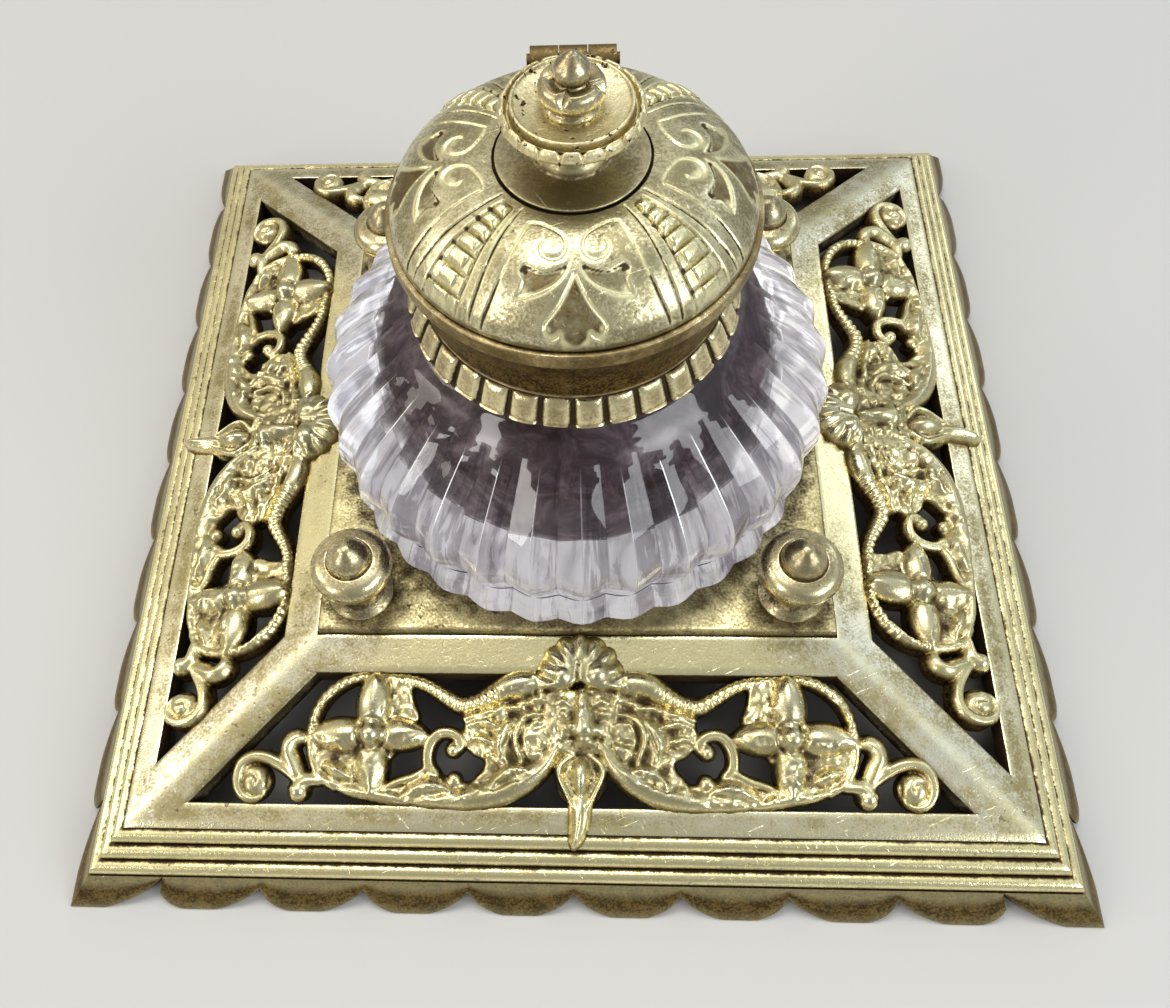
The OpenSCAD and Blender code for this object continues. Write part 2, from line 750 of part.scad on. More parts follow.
module finial_dish() {
  rim_in = dish_r - dish_band;
  color(BRIGHT) difference() {
    turned([
      [0, dish_z], [0.8 * finial_neck_r, dish_z], [rim_in + 0.55 * dish_band, dish_z + dish_h * 0.25],
      [dish_r, dish_z + dish_h * 0.45], [rim_in + 0.8 * dish_band, dish_z + dish_h * 0.7],
      [rim_in + 0.2 * dish_band, dish_z + dish_h * 0.85], [rim_in, dish_z + dish_h],
      [rim_in - 0.3 * dish_band, dish_z + dish_h], [rim_in - 0.9 * dish_band, dish_floor_z], [0, dish_floor_z]
    ]);
    for (i = [0:nick_n - 1]) rotate(i * 360 / nick_n)
      translate([rim_in + 0.6 * dish_band, -nick_w / 2, dish_z + dish_h * 0.35])
        cube([dish_band, nick_w, dish_h]);
    translate([0, 0, dish_z - 1]) cylinder(r = stud_r + fit_gap, h = 20);
  }
}

module finial_bud() {
  color(BRASS) {
    turned([
      [0, bud_z], [bud_r * 0.8, bud_z], [bud_r * 0.9, bud_z + bud_h * 0.1],
      [bud_r * 0.7, bud_z + bud_h * 0.2], [bud_r * 0.9, bud_z + bud_h * 0.27],
      [bud_r, bud_z + bud_h * 0.4], [bud_r * 0.85, bud_z + bud_h * 0.56],
      [bud_r * 0.6, bud_z + bud_h * 0.64], [bud_r * 0.62, bud_z + bud_h * 0.76],
      [bud_r * 0.4, bud_z + bud_h * 0.9], [bud_r * 0.15, bud_z + bud_h * 0.98], [0, bud_z + bud_h]
    ]);
    translate([0, 0, stud_low_z]) cylinder(r = stud_r, h = bud_z - stud_low_z + 1);
  }
}

module finial_nut() {
  color(DARK) translate([0, 0, seat_z - lid_t - finial_nut_h]) hex_nut(nut_w, finial_nut_h, stud_r + pin_gap);
}

rim_frame();
scroll_panel_front();
scroll_panel_right();
scroll_panel_back();
scroll_panel_left();
tray_plate();
knob_front_left();
knob_front_right();
knob_back_right();
knob_back_left();
knob_washers();
knob_nuts();
ink_bottle();
cement_ring();
neck_collar();
hinge_leaf_collar();
lid();
hinge_leaf_lid();
hinge_pin();
finial_seat();
finial_dish();
finial_bud();
finial_nut();
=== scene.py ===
import json
import math

import bpy
import numpy as np
from mathutils import Matrix, Vector


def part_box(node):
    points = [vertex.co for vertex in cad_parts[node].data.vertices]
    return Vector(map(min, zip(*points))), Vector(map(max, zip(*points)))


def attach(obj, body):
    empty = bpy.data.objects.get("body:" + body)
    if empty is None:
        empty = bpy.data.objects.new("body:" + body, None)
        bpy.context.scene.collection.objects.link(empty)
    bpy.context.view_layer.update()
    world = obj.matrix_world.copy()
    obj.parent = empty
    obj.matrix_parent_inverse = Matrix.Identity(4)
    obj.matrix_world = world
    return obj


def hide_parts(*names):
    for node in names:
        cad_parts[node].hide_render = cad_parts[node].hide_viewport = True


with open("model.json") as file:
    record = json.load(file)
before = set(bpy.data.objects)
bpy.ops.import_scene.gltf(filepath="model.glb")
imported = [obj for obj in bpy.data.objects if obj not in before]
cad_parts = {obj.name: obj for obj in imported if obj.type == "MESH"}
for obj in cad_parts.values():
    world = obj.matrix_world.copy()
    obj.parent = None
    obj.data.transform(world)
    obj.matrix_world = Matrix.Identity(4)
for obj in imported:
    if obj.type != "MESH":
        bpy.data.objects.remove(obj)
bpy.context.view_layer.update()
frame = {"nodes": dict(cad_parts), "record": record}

MM = 0.001

# ---- Sizes in millimetres, worked out from the frame ------------------------------------------

def size(node):
    """Lowest and highest corner of a node, in millimetres."""
    low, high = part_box(node)
    return np.array(low) / MM, np.array(high) / MM


HALF = size("rim_frame")[1][0]
TRAY_HALF = size("tray_plate")[1][0]
TRAY_LOW, TRAY_TOP = size("tray_plate")[0][2], size("tray_plate")[1][2]
SKIRT_OUT, SKIRT_H, SKIRT_T = 4.0, 4.8, 2.4
REED_RUN, REED_DROP, REED_R, REED_SINK = 5.9, 5.2, 1.25, 0.75
REED_OUT = HALF - SKIRT_OUT
BAND_OUT = REED_OUT - REED_RUN
BAND_Z = SKIRT_H + REED_DROP
SLOPE = math.tan(math.radians(16))
WINDOW_OUT = BAND_OUT - 3.8
WINDOW_IN = TRAY_HALF + 5.8
HIP_CUT = 8.3 / math.sqrt(2)
SIDE_T = 3.0
LEDGE_T, LEDGE_IN = 2.4, TRAY_HALF - 11.5
LOBES, LOBE_PITCH, NOTCH, FOOT_TRIM = 8, 16.1, 4.6, 0.3
BELLY_R = size("ink_bottle")[1][0]
NECK_TOP = size("ink_bottle")[1][2]
SHOULDER = TRAY_TOP + 30.8
NECK_R, BORE_R = 17.2, 13.8
LIP_R = size("neck_collar")[1][0]
LIP_TOP = size("neck_collar")[1][2]
THROAT_R = LIP_R - 3.3
COLLAR_R = THROAT_R + 2.1
LID_R = size("lid")[1][0]
LID_LOW = LIP_TOP + 0.15
SEAT_Z = size("finial_seat")[0][2]
SEAT_R = 9.7
DISH_Z = size("finial_dish")[0][2]
DISH_R = size("finial_dish")[1][0]
TIP_Z = size("finial_bud")[1][2]
KNOBS = ("knob_front_left", "knob_front_right", "knob_back_right", "knob_back_left")
SIDES = ("front", "right", "back", "left")


def slope_z(out):
    """Height of the sloping sides at a distance out from the middle."""
    return BAND_Z + (BAND_OUT - out) * SLOPE


# ---- Mesh helpers ---------------------------------------------------------------------------

def new_piece(name, points, faces, body, material, replaces, fields, sharp, others=()):
    """A mesh piece from points in mm and a list of face arrays, which rides on a body.

    fields are named numbers, one per point, that the finishes read. others pairs each further
    material with the numbers of the face arrays that take it.
    """
    mesh = bpy.data.meshes.new(name)
    faces = [f.reshape(-1, f.shape[-1]) for f in faces]
    loops = np.concatenate([f.reshape(-1) for f in faces])
    totals = np.concatenate([np.full(len(f), f.shape[1]) for f in faces])
    mesh.vertices.add(points.size // 3)
    mesh.vertices.foreach_set("co", (points * MM).astype(np.float32).reshape(-1))
    mesh.loops.add(len(loops))
    mesh.loops.foreach_set("vertex_index", loops.astype(np.int32))
    mesh.polygons.add(len(totals))
    mesh.polygons.foreach_set("loop_start", (np.cumsum(totals) - totals).astype(np.int32))
    mesh.polygons.foreach_set("use_smooth", np.ones(len(totals), bool))
    mesh.update(calc_edges=True)
    mesh.validate()
    for key, values in fields.items():
        layer = mesh.attributes.new(key, "FLOAT", "POINT")
        layer.data.foreach_set("value", values.astype(np.float32).reshape(-1))
    mesh.set_sharp_from_angle(angle=math.radians(sharp))
    mesh.materials.append(material)
    for number, (other, arrays) in enumerate(others, 1):
        mesh.materials.append(other)
        for i in arrays:
            first = sum(len(f) for f in faces[:i])
            for polygon in mesh.polygons[first:first + len(faces[i])]:
                polygon.material_index = number
    piece = bpy.data.objects.new(name, mesh)
    bpy.context.scene.collection.objects.link(piece)
    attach(piece, body)
    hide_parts(*replaces)


def grid_quads(rows, cols, wrap_rows=False):
    """Quads of a rows by cols grid of points that closes on itself along its rows, as indices."""
    i = np.arange(rows if wrap_rows else rows - 1)[:, None]
    j = np.arange(cols)[None, :]
    i2, j2 = (i + 1) % rows, (j + 1) % cols
    quads = [i * cols + j, i * cols + j2, i2 * cols + j2, i2 * cols + j]
    return np.stack(np.broadcast_arrays(*quads), -1)


def end_fans(rows, cols):
    """Triangles that close a grid's first and last row, each about a point that follows the grid's."""
    j = np.arange(cols)
    last = (rows - 1) * cols
    low = np.stack([np.full(cols, rows * cols), (j + 1) % cols, j], -1)
    high = np.stack([np.full(cols, rows * cols + 1), last + j, last + (j + 1) % cols], -1)
    return low, high


def without_spares(points, faces, fields):
    """Points, faces and fields again, without the points that no face uses."""
    used = np.unique(faces)
    new = np.zeros(points.size // 3, int)
    new[used] = np.arange(len(used))
    fields = {key: values.reshape(-1)[used] for key, values in fields.items()}
    return points.reshape(-1, 3)[used], new[faces], fields


def held(values):
    """Values held between 0 and 1."""
    return np.clip(values, 0, 1)


def round_axis(r, z, a):
    """Points at radii r, heights z and angles a."""
    return np.stack([r * np.cos(a), r * np.sin(a), z + 0 * a], -1)


def shifted(points, step, axis, wrap):
    """The grid moved by some steps along an axis, around or held at its ends."""
    if wrap:
        return np.roll(points, -step, axis)
    index = np.clip(np.arange(points.shape[axis]) + step, 0, points.shape[axis] - 1)
    return np.take(points, index, axis)


def normals(points, wrap_rows):
    """Unit normals of a grid: across the columns' step times the rows' step."""
    along = shifted(points, 1, 1, True) - shifted(points, -1, 1, True)
    down = shifted(points, 1, 0, wrap_rows) - shifted(points, -1, 0, wrap_rows)
    n = np.cross(along, down)
    return n / np.maximum(np.linalg.norm(n, axis=-1, keepdims=True), 1e-9)


# hollow and crest drive grime with painted shade in the hollows, and polish with painted highlights on the
# crests
def wear_and_shading(points, depth, reach_rows, reach_cols=0, wrap_rows=False):
    """hollow and crest of a grid surface, each 0 to 1.

    Both compare a point with the mean of its neighbours some steps away, along the normal:
    hollow = mean above the point / depth, crest = mean below the point / depth.
    """
    n = normals(points, wrap_rows)
    rise = np.zeros(points.shape[:2])
    for axis, reach, wrap in ((0, reach_rows, wrap_rows), (1, reach_cols, True)):
        if reach:
            mean = (shifted(points, reach, axis, wrap) + shifted(points, -reach, axis, wrap)) / 2
            rise += ((mean - points) * n).sum(-1)
    return {"hollow": held(rise / depth), "crest": held(-rise / depth)}


def ripple(points, length, seed):
    """A smooth unevenness between -1 and 1: a mean of 9 sine waves about this long, in fixed directions."""
    rng = np.random.default_rng(seed)
    total = np.zeros(points.shape[:-1])
    for _ in range(9):
        direction = rng.normal(size=3)
        direction *= rng.uniform(0.7, 1.5) * 2 * math.pi / length / np.linalg.norm(direction)
        total += np.sin(points @ direction + rng.uniform(0, 2 * math.pi))
    return total / 4


def rounded(corners, steps=5):
    """A profile from corners (r, z, rounding): each corner becomes an arc-like quadratic curve.

    The curve runs from one rounding before the corner to one after it.
    """
    p = np.array([c[:2] for c in corners], float)
    out = [p[0]]
    for i in range(1, len(p) - 1):
        back, on = p[i - 1] - p[i], p[i + 1] - p[i]
        reach = min(corners[i][2], 0.49 * np.linalg.norm(back), 0.49 * np.linalg.norm(on))
        a = p[i] + back / np.linalg.norm(back) * reach
        b = p[i] + on / np.linalg.norm(on) * reach
        t = np.linspace(0, 1, steps)[:, None] if reach > 0 else np.zeros((1, 1))
        out.extend((1 - t) ** 2 * a + 2 * t * (1 - t) * p[i] + t ** 2 * b)
    out.append(p[-1])
    return np.array(out)


def above(z, corners):
    """Corners (r, rise, rounding) of a profile with their rise measured from z."""
    return [(r, z + rise, rounding) for r, rise, rounding in corners]


def refined(profile, longest):
    """The same profile with points added until no step is longer than this."""
    out = [profile[:1]]
    for a, b in zip(profile[:-1], profile[1:]):
        n = max(1, math.ceil(np.linalg.norm(b - a) / longest))
        out.append(a + (b - a) * (np.arange(1, n + 1) / n)[:, None])
    return np.concatenate(out)


def curve(points, steps=8):
    """A smooth Catmull-Rom curve through rows of numbers, with some steps between each pair."""
    p = np.array(points, float)
    a, b, c, d = p[np.r_[0, 0:len(p) - 2]], p[:-1], p[1:], p[np.r_[2:len(p), len(p) - 1]]
    t = (np.arange(steps) / steps)[None, :, None]
    a, b, c, d = (q[:, None, :] for q in (a, b, c, d))
    body = 0.5 * (2 * b + (c - a) * t + (2 * a - 5 * b + 4 * c - d) * t ** 2
                  + (3 * b - a - 3 * c + d) * t ** 3)
    return np.concatenate([body.reshape(-1, p.shape[1]), p[-1:]])


def strand(points, steps, *columns):
    """A smooth curve through points, with the numbers of further columns carried along it."""
    columns = [np.broadcast_to(column, len(points)) for column in columns]
    return curve(np.column_stack([np.array(points, float), *columns]), steps)


WOBBLE = 0.02


def turned(name, profile, body, material, replaces, columns, depth, sharp, centre=(0, 0), reach=2,
           shape=None):
    """A lathe piece: point (r, z) of the profile goes round the axis, (r cos a, r sin a, z).

    The profile runs from the axis at the bottom, outside, to the axis at the top. depth and
    reach go to wear, which also sets painted shade and highlights. shape, if given, moves the points of the
    grid.
    """
    a = np.linspace(0, 2 * math.pi, columns, endpoint=False)
    inner = profile[1:-1]
    r, z = inner[:, :1], inner[:, 1:]
    grid = np.stack([r * np.cos(a) + centre[0], r * np.sin(a) + centre[1], z + 0 * a], -1)
    if shape is not None:
        grid = shape(grid, a)
    grid = grid + normals(grid, False) * (WOBBLE * ripple(grid, 7, 3))[..., None]
    ends = np.array([[centre[0], centre[1], profile[0, 1]], [centre[0], centre[1], profile[-1, 1]]])
    fields = {key: np.append(values, [0, 0]) for key, values in wear_and_shading(grid, depth, reach).items()}
    points = np.concatenate([grid.reshape(-1, 3), ends])
    faces = [grid_quads(len(inner), columns), *end_fans(len(inner), columns)]
    new_piece(name, points, faces, body, material, replaces, fields, sharp)


# ---- Finishes -------------------------------------------------------------------------------

class Socket:
    """A number in a material. Python's operators on it add Math nodes."""

    def __init__(self, finish, socket):
        self.finish, self.socket = finish, socket

    def math(self, operation, *others, first=None):
        values = ([self] if first is None else [first, self]) + list(others)
        return self.finish.node("Math", dict(enumerate(values)), operation=operation)

    def __add__(self, other):
        return self.math("ADD", other)

    def __sub__(self, other):
        return self.math("SUBTRACT", other)

    def __rsub__(self, other):
        return self.math("SUBTRACT", first=other)

    def __mul__(self, other):
        return self.math("MULTIPLY", other)

    def __truediv__(self, other):
        return self.math("DIVIDE", other)

    __radd__, __rmul__ = __add__, __mul__

    def largest(self, other):
        return self.math("MAXIMUM", other)

    def between(self, low, high):
        """0 below low, 1 above high, a smooth rise between them."""
        links = {"Value": self, "From Min": low, "From Max": high}
        return self.finish.node("MapRange", links, interpolation_type="SMOOTHSTEP")


class Finish:
    """The nodes of one material or of the room, on Object coordinates."""

    def __init__(self, owner):
        self.owner = owner
        owner.use_nodes = True
        self.tree = owner.node_tree
        self.tree.nodes.clear()
        self.place = self.node("TexCoord", out="Object")

    def node(self, kind, links=None, out=0, **settings):
        """Adds a node: its settings first, then the values or links of its sockets."""
        node = self.tree.nodes.new("ShaderNode" + kind)
        for key, value in settings.items():
            setattr(node, key, value)
        for key, value in (links or {}).items():
            if isinstance(value, Socket):
                self.tree.links.new(value.socket, node.inputs[key])
            else:
                node.inputs[key].default_value = value
        return None if out is None else Socket(self, node.outputs[out])

    def field(self, name):
        """The number that a mesh carries under this name at each of its points."""
        return self.node("Attribute", out="Fac", attribute_name=name)

    def stretched(self, scale, turn=0.0):
        """The place turned about Z, then scaled by its own factor on each axis."""
        links = {"Vector": self.place, "Rotation": (0, 0, math.radians(turn)),
                 "Scale": [1 / k for k in scale]}
        return self.node("Mapping", links, vector_type="TEXTURE")

    def noise(self, scale, detail=3.0, rough=0.5, place=None, twist=0.0):
        """Clouds between 0 and 1, scale of them to a metre."""
        links = {"Vector": place or self.place, "Scale": scale, "Detail": detail, "Roughness": rough,
                 "Distortion": twist}
        return self.node("TexNoise", links)

    def turns(self):
        """The place's angle about Z, in turns."""
        x = self.node("SeparateXYZ", {0: self.place}, out="X")
        y = self.node("SeparateXYZ", {0: self.place}, out="Y")
        return y.math("ARCTAN2", x) / (2 * math.pi)

    def mix(self, first, second, factor):
        return self.node("Mix", {0: factor, 6: first, 7: second}, out=2, data_type="RGBA")

    def bump(self, height, strength, distance):
        links = {"Height": height, "Strength": strength, "Distance": distance}
        return self.node("Bump", links, out="Normal")

    def shade(self, **links):
        """The surface shader, from the names of its sockets with _ for a space."""
        links = {key.replace("_", " "): value for key, value in links.items()}
        shader = self.node("BsdfPrincipled", links)
        self.node("OutputMaterial", {"Surface": shader}, out=None)
        return self.owner


def rgb(red, green, blue):
    return (red, green, blue, 1.0)


CREAM = rgb(0.94, 0.88, 0.56)
# dark brown for grime and for painted shade
GRIME_AND_SHADE = rgb(0.045, 0.022, 0.006)
SILVER = rgb(0.80, 0.79, 0.70)


def brass(name, gold, olive, tarnish, gloss, specks, brown, grain, silver=SILVER):
    """Aged brass: clean gold and olive tarnish in clouds about a centimetre wide, brown soiling and painted
    shade in the hollows, soiling in specks, cream polish and painted highlights on the crests, fine scratches
    and a cast grain."""
    f = Finish(bpy.data.materials.new(name))
    hollow, crest = f.field("hollow"), f.field("crest")
    cut, umber = f.field("cut"), f.field("umber")
    clouds = f.noise(70, detail=6, rough=0.62)
    mottle = f.noise(430, detail=4, rough=0.65)
    fine = f.noise(2600, detail=3, rough=0.6)
    spots = f.noise(1150, detail=2, rough=0.5)
    scratch_a = f.noise(1, detail=2, place=f.stretched((70, 2600, 1400), 23))
    scratch_b = f.noise(1, detail=2, place=f.stretched((90, 2300, 1400), -58))
    scratches = scratch_a.between(0.69, 0.76) + scratch_b.between(0.70, 0.77)
    dull = (clouds + mottle * 0.55 + fine * 0.8 + tarnish * 0.4 - crest * 0.12 - 0.475).between(0.62, 1.04)
    speck = spots.between(0.62, 0.70) * clouds.between(0.40, 0.62) * specks
    ragged = (mottle - 0.5) * 1.6 + (fine - 0.5) * 0.8
    # grime and painted shade, darkest in the hollows
    dirt_and_shade = (hollow * 1.25 + ragged * hollow.between(0, 0.3)).between(0.12, 0.85)
    dark = dirt_and_shade.largest(speck)
    stain = (f.noise(150, detail=6, rough=0.72) + umber * 0.45).between(0.56, 0.80) * (umber * 0.6 + brown)
    colour = f.mix(f.mix(gold, silver, f.field("silver")), olive, dull)
    loam = (fine * 0.6 + mottle * 0.4).between(0.41, 0.60)
    earth = f.mix(rgb(0.06, 0.035, 0.01), rgb(0.25, 0.175, 0.065), loam)
    colour = f.mix(colour, earth, stain)
    # cream on the crests: polish and a painted highlight; scratches add real cream wear
    colour = f.mix(colour, CREAM, (crest * 0.6 + scratches * 0.3) * (1 - umber * 0.6))
    colour = f.mix(colour, CREAM, cut * 0.8)
    colour = f.mix(colour, GRIME_AND_SHADE, dark * 0.95)
    rough = gloss + dull * 0.16 + dark * 0.3 + stain * 0.1 - crest * 0.08
    rough = rough + (fine - 0.5) * 0.2 + scratches * 0.05
    height = fine * 0.3 + mottle * 0.5 * grain - speck * 0.8 - scratches * 0.35 - stain * 0.3
    return f.shade(Base_Color=colour, Metallic=1 - dark * 0.75, Roughness=rough,
                   Normal=f.bump(height, 0.55 * grain + 0.12, 0.0002))


BRASSES = {
    "flat_bar_brass": dict(gold=rgb(0.92, 0.80, 0.44), olive=rgb(0.30, 0.25, 0.12), tarnish=0.46, gloss=0.29,
                           specks=0.6, brown=0.4, grain=0.6),
    "scroll_brass": dict(gold=rgb(0.92, 0.81, 0.47), olive=rgb(0.42, 0.37, 0.21), tarnish=0.36, gloss=0.25,
                         specks=0.3, brown=0.45, grain=0.5, silver=rgb(0.46, 0.435, 0.31)),
    "tray_brass": dict(gold=rgb(0.78, 0.70, 0.42), olive=rgb(0.42, 0.36, 0.19), tarnish=0.42, gloss=0.33,
                       specks=0.8, brown=0.65, grain=0.5),
    "lid_brass": dict(gold=rgb(0.80, 0.74, 0.51), olive=rgb(0.32, 0.285, 0.17), tarnish=0.52, gloss=0.27,
                      specks=0.5, brown=0.5, grain=0.6),
    "knob_brass": dict(gold=rgb(0.74, 0.65, 0.42), olive=rgb(0.27, 0.225, 0.135), tarnish=0.55, gloss=0.22,
                       specks=0.6, brown=0.5, grain=0.35),
    "dark_brass": dict(gold=rgb(0.34, 0.26, 0.12), olive=rgb(0.20, 0.15, 0.07), tarnish=0.6, gloss=0.42,
                       specks=0.6, brown=0.7, grain=0.6),
    "seat_brass": dict(gold=rgb(0.60, 0.54, 0.36), olive=rgb(0.30, 0.26, 0.16), tarnish=0.5, gloss=0.30,
                       specks=0.3, brown=0.6, grain=0.4),
    "dish_brass": dict(gold=rgb(0.93, 0.85, 0.58), olive=rgb(0.56, 0.49, 0.29), tarnish=0.28, gloss=0.36,
                       specks=1.5, brown=0.4, grain=1.3),
    "collar_brass": dict(gold=rgb(0.76, 0.66, 0.42), olive=rgb(0.38, 0.30, 0.17), tarnish=0.45, gloss=0.24,
                         specks=0.4, brown=0.5, grain=0.6),
}

FLUTES, FLUTE_TURN = 32, 2.0


def cut_glass():
    """Clear lead glass with painted light and shade: its facets, two to each V cut, differ in painted depth
    of tone, the left one of each cut the darker, with painted streaks and dark valley lines; the ridges
    between the cuts are slightly rubbed and carry a painted highlight."""
    f = Finish(bpy.data.materials.new("cut_glass"))
    turn = (f.turns() - (FLUTE_TURN - 90) / 360) * FLUTES
    facet = (turn * 2).math("FLOOR")
    chance = f.node("TexWhiteNoise", {"W": facet}, noise_dimensions="1D")
    right = (facet * 0.5).math("FRACT") * 2
    height = f.node("SeparateXYZ", {0: f.place}, out="Z")
    along = f.node("CombineXYZ", {"X": turn * 5, "Y": height * 130})
    streak = f.noise(1, detail=3, rough=0.6, place=along, twist=0.7)
    beside_valley = (turn.math("FRACT") - 0.5).math("ABSOLUTE")
    # painted light and shade: random depth per facet, the left facet of each cut darker, painted streaks of
    # reflection and dark valley lines
    tone = chance.between(0.25, 0.95) * 0.8 + (1 - right) * 0.45
    tone = tone + streak.between(0.54, 0.64) * 0.6 - (1 - streak.between(0.40, 0.50)) * 0.8
    tone = tone + (1 - beside_valley.between(0.01, 0.035)) * 0.5
    colour = f.mix(rgb(1.0, 0.995, 1.0), rgb(0.34, 0.32, 0.35), (tone * f.field("cut")).between(0, 1))
    # a painted highlight on the slightly rubbed ridges
    wear_and_shading_marks = beside_valley.between(0.484, 0.494) * f.field("ridge")
    colour = f.mix(colour, rgb(0.95, 0.95, 1.0), wear_and_shading_marks)
    return f.shade(Base_Color=colour, Roughness=wear_and_shading_marks * 0.3, Metallic=wear_and_shading_marks * 0.5, IOR=1.52,
                   Transmission_Weight=1.0,
                   Normal=f.bump(f.noise(60, detail=1), 0.03, 0.0005))


def ground_glass_painted_glow():
    """The bottle's underside: frosted by grinding to a pale satin, with a painted glow for the light it
    throws back up.
    """
    f = Finish(bpy.data.materials.new("ground_glass_painted_glow"))
    frost = f.noise(220, detail=4, twist=0.5)
    colour = f.mix(rgb(0.98, 0.98, 1.0), rgb(0.62, 0.60, 0.64), frost.between(0.45, 0.75))
    # the emission is a painted glow for light thrown back up from the underside
    return f.shade(Base_Color=colour, Metallic=0.7, Roughness=0.07, Emission_Color=colour,
                   Emission_Strength=0.37)


def ink_film_and_groove_shade():
    """Old ink dried on the walls of its space: a cloudy dark purple skin; the same skin is painted shade in
    the groove above the bottle's foot.
    """
    f = Finish(bpy.data.materials.new("ink_film_and_groove_shade"))
    cloud = f.noise(140, detail=6, rough=0.7, twist=0.6)
    colour = f.mix(rgb(0.055, 0.022, 0.036), rgb(0.40, 0.30, 0.35), cloud.between(0.40, 0.80))
    return f.shade(Base_Color=colour, Roughness=0.22, IOR=1.52)


def bedding_plaster():
    """Matte plaster with a fine crumb."""
    f = Finish(bpy.data.materials.new("bedding_plaster"))
    crumb = f.noise(1800, detail=4)
    colour = f.mix(rgb(0.62, 0.58, 0.50), rgb(0.78, 0.75, 0.68), crumb)
    return f.shade(Base_Color=colour, Roughness=0.9, Normal=f.bump(crumb, 0.5, 0.0002))


def pale_floor():
    """Plain pale matte surface."""
    f = Finish(bpy.data.materials.new("pale_floor"))
    colour = f.mix(rgb(0.52, 0.515, 0.505), rgb(0.56, 0.555, 0.545), f.noise(3, detail=2))
    return f.shade(Base_Color=colour, Roughness=0.75)


# ---- Base frame -----------------------------------------------------------------------------

def scallop(x):
    """How far down the skirt's slope its edge lies at x along a side.

    Middle scallops are arcs of one radius, s = centre + sqrt(r^2 - dx^2); the corner ones are
    rounder and longer, and everything is trimmed at the skirt's foot.
    """
    length = math.hypot(SKIRT_OUT, SKIRT_H)
    r = ((LOBE_PITCH / 2) ** 2 + NOTCH ** 2) / (2 * NOTCH)
    dx = (x + LOBES * LOBE_PITCH / 2) % LOBE_PITCH - LOBE_PITCH / 2
    middle = length - r + FOOT_TRIM + np.sqrt(r ** 2 - dx ** 2)
    end, big = LOBES * LOBE_PITCH / 2, r * 1.15
    off = np.abs(x) - (end + big * 0.93)
    corner = length + 2 * FOOT_TRIM - big + np.sqrt(np.maximum(big ** 2 - np.minimum(off, 0) ** 2, 0))
    return np.minimum(np.where(np.abs(x) < end, middle, corner), length - 0.02)


def frame_columns():
    """Places along the skirt's edge of the front: every cusp is one of them, finer near the corners."""
    end = LOBES * LOBE_PITCH / 2
    half_window = HALF - HIP_CUT
    middle = np.linspace(-end, end, LOBES * 18 + 1)
    outer = np.linspace(end, half_window, 8)[1:]
    beside = half_window + np.array([0.12, 0.35, 0.7, 1.3, 2.1, 2.9, 3.7, 4.4, 5.0, 5.5])
    right = np.concatenate([outer, beside])
    return np.concatenate([-HALF * np.ones(1), -right[::-1], middle, right])


def at_row(edge, out):
    """x of a column on the row at a distance out: the stretch between the hips scales with
    the row, and the stretch across a hip keeps its width until the mitre."""
    inside = np.clip(edge / (HALF - HIP_CUT), -1, 1) * (out - HIP_CUT)
    beyond = np.sign(edge) * np.maximum(np.abs(edge) - (HALF - HIP_CUT), 0)
    return inside + beyond


REED_TURN = np.linspace(97, -97, 15)
# outside of the skirt: share of the way down to its edge, and how far in
SKIRT_ROWS = ((1.0, 1.25), (0.995, 0.7), (0.975, 0.3), (0.94, 0.08), (0.88, 0), (0.7, 0), (0.45, 0), (0.2, 0))
SKIRT_BROWN = (1.2, 1.2, 1.2, 1.1, 1.0, 0.95, 0.9, 0.9, 0.9)
INNER_ROWS = (0.0, 0.4, 0.75, 0.93, 0.985)
# rows of the top before the window, across it and in all; rows of the seat, and those bent at the hips
WINDOW_FROM, WINDOW_ROWS, TOP_ROWS = 7, 12, 30
SEAT_ROWS, BENT_ROWS = 7, TOP_ROWS + 4


def frame_profile():
    """The side's section above the skirt, as lists of (out, z): the three half-round reeds, the
    band and the bars down to the tray's seat, the seat round its ledge, and the way back out
    under the bars."""
    along = np.array([REED_RUN, -REED_DROP]) / math.hypot(REED_RUN, REED_DROP)
    up = np.array([REED_DROP, REED_RUN]) / math.hypot(REED_RUN, REED_DROP)
    pitch = math.hypot(REED_RUN, REED_DROP) / 3
    turn = np.radians(REED_TURN)[:, None]
    reeds = []
    for i in (2, 1, 0):
        middle = np.array([BAND_OUT, BAND_Z]) + along * pitch * (i + 0.5) - up * REED_SINK
        reeds.append(middle + REED_R * (np.sin(turn) * along + np.cos(turn) * up))
    bevel = np.array([0.0, 0.07, 0.2, 0.45])
    window = np.linspace(WINDOW_OUT, WINDOW_IN, WINDOW_ROWS + 1)[1:-1]
    top_out = np.concatenate([BAND_OUT - np.array([0.12, 0.4, 1.5, 2.6]), WINDOW_OUT + bevel[::-1], window,
                              WINDOW_IN - bevel, np.linspace(WINDOW_IN - 1.2, TRAY_HALF + 0.9, 4),
                              TRAY_HALF + np.array([0.55, 0.3, 0.17])])
    top = np.stack([top_out, slope_z(top_out)], -1)
    top[0, 1] -= 0.12
    top[-1, 1] -= 0.3
    top[-2, 1] -= 0.06
    ledge_low = TRAY_LOW - LEDGE_T
    seat = np.array([[TRAY_HALF + 0.15, TRAY_LOW + 0.1], [TRAY_HALF + 0.15, TRAY_LOW],
                     [LEDGE_IN + 0.2, TRAY_LOW], [LEDGE_IN, TRAY_LOW - 0.2], [LEDGE_IN, ledge_low + 0.2],
                     [LEDGE_IN + 0.2, ledge_low], [TRAY_HALF + 1, ledge_low]])
    low_out = np.array([BAND_OUT - SIDE_T, BAND_Z - SIDE_T])
    under_out = np.concatenate([[WINDOW_IN], window[::-1], [WINDOW_OUT]])
    share = (under_out - seat[-1, 0]) / (low_out[0] - seat[-1, 0])
    under = np.stack([under_out, seat[-1, 1] + share * (low_out[1] - seat[-1, 1])], -1)
    return np.concatenate(reeds), top, np.concatenate([seat, under, low_out[None]])


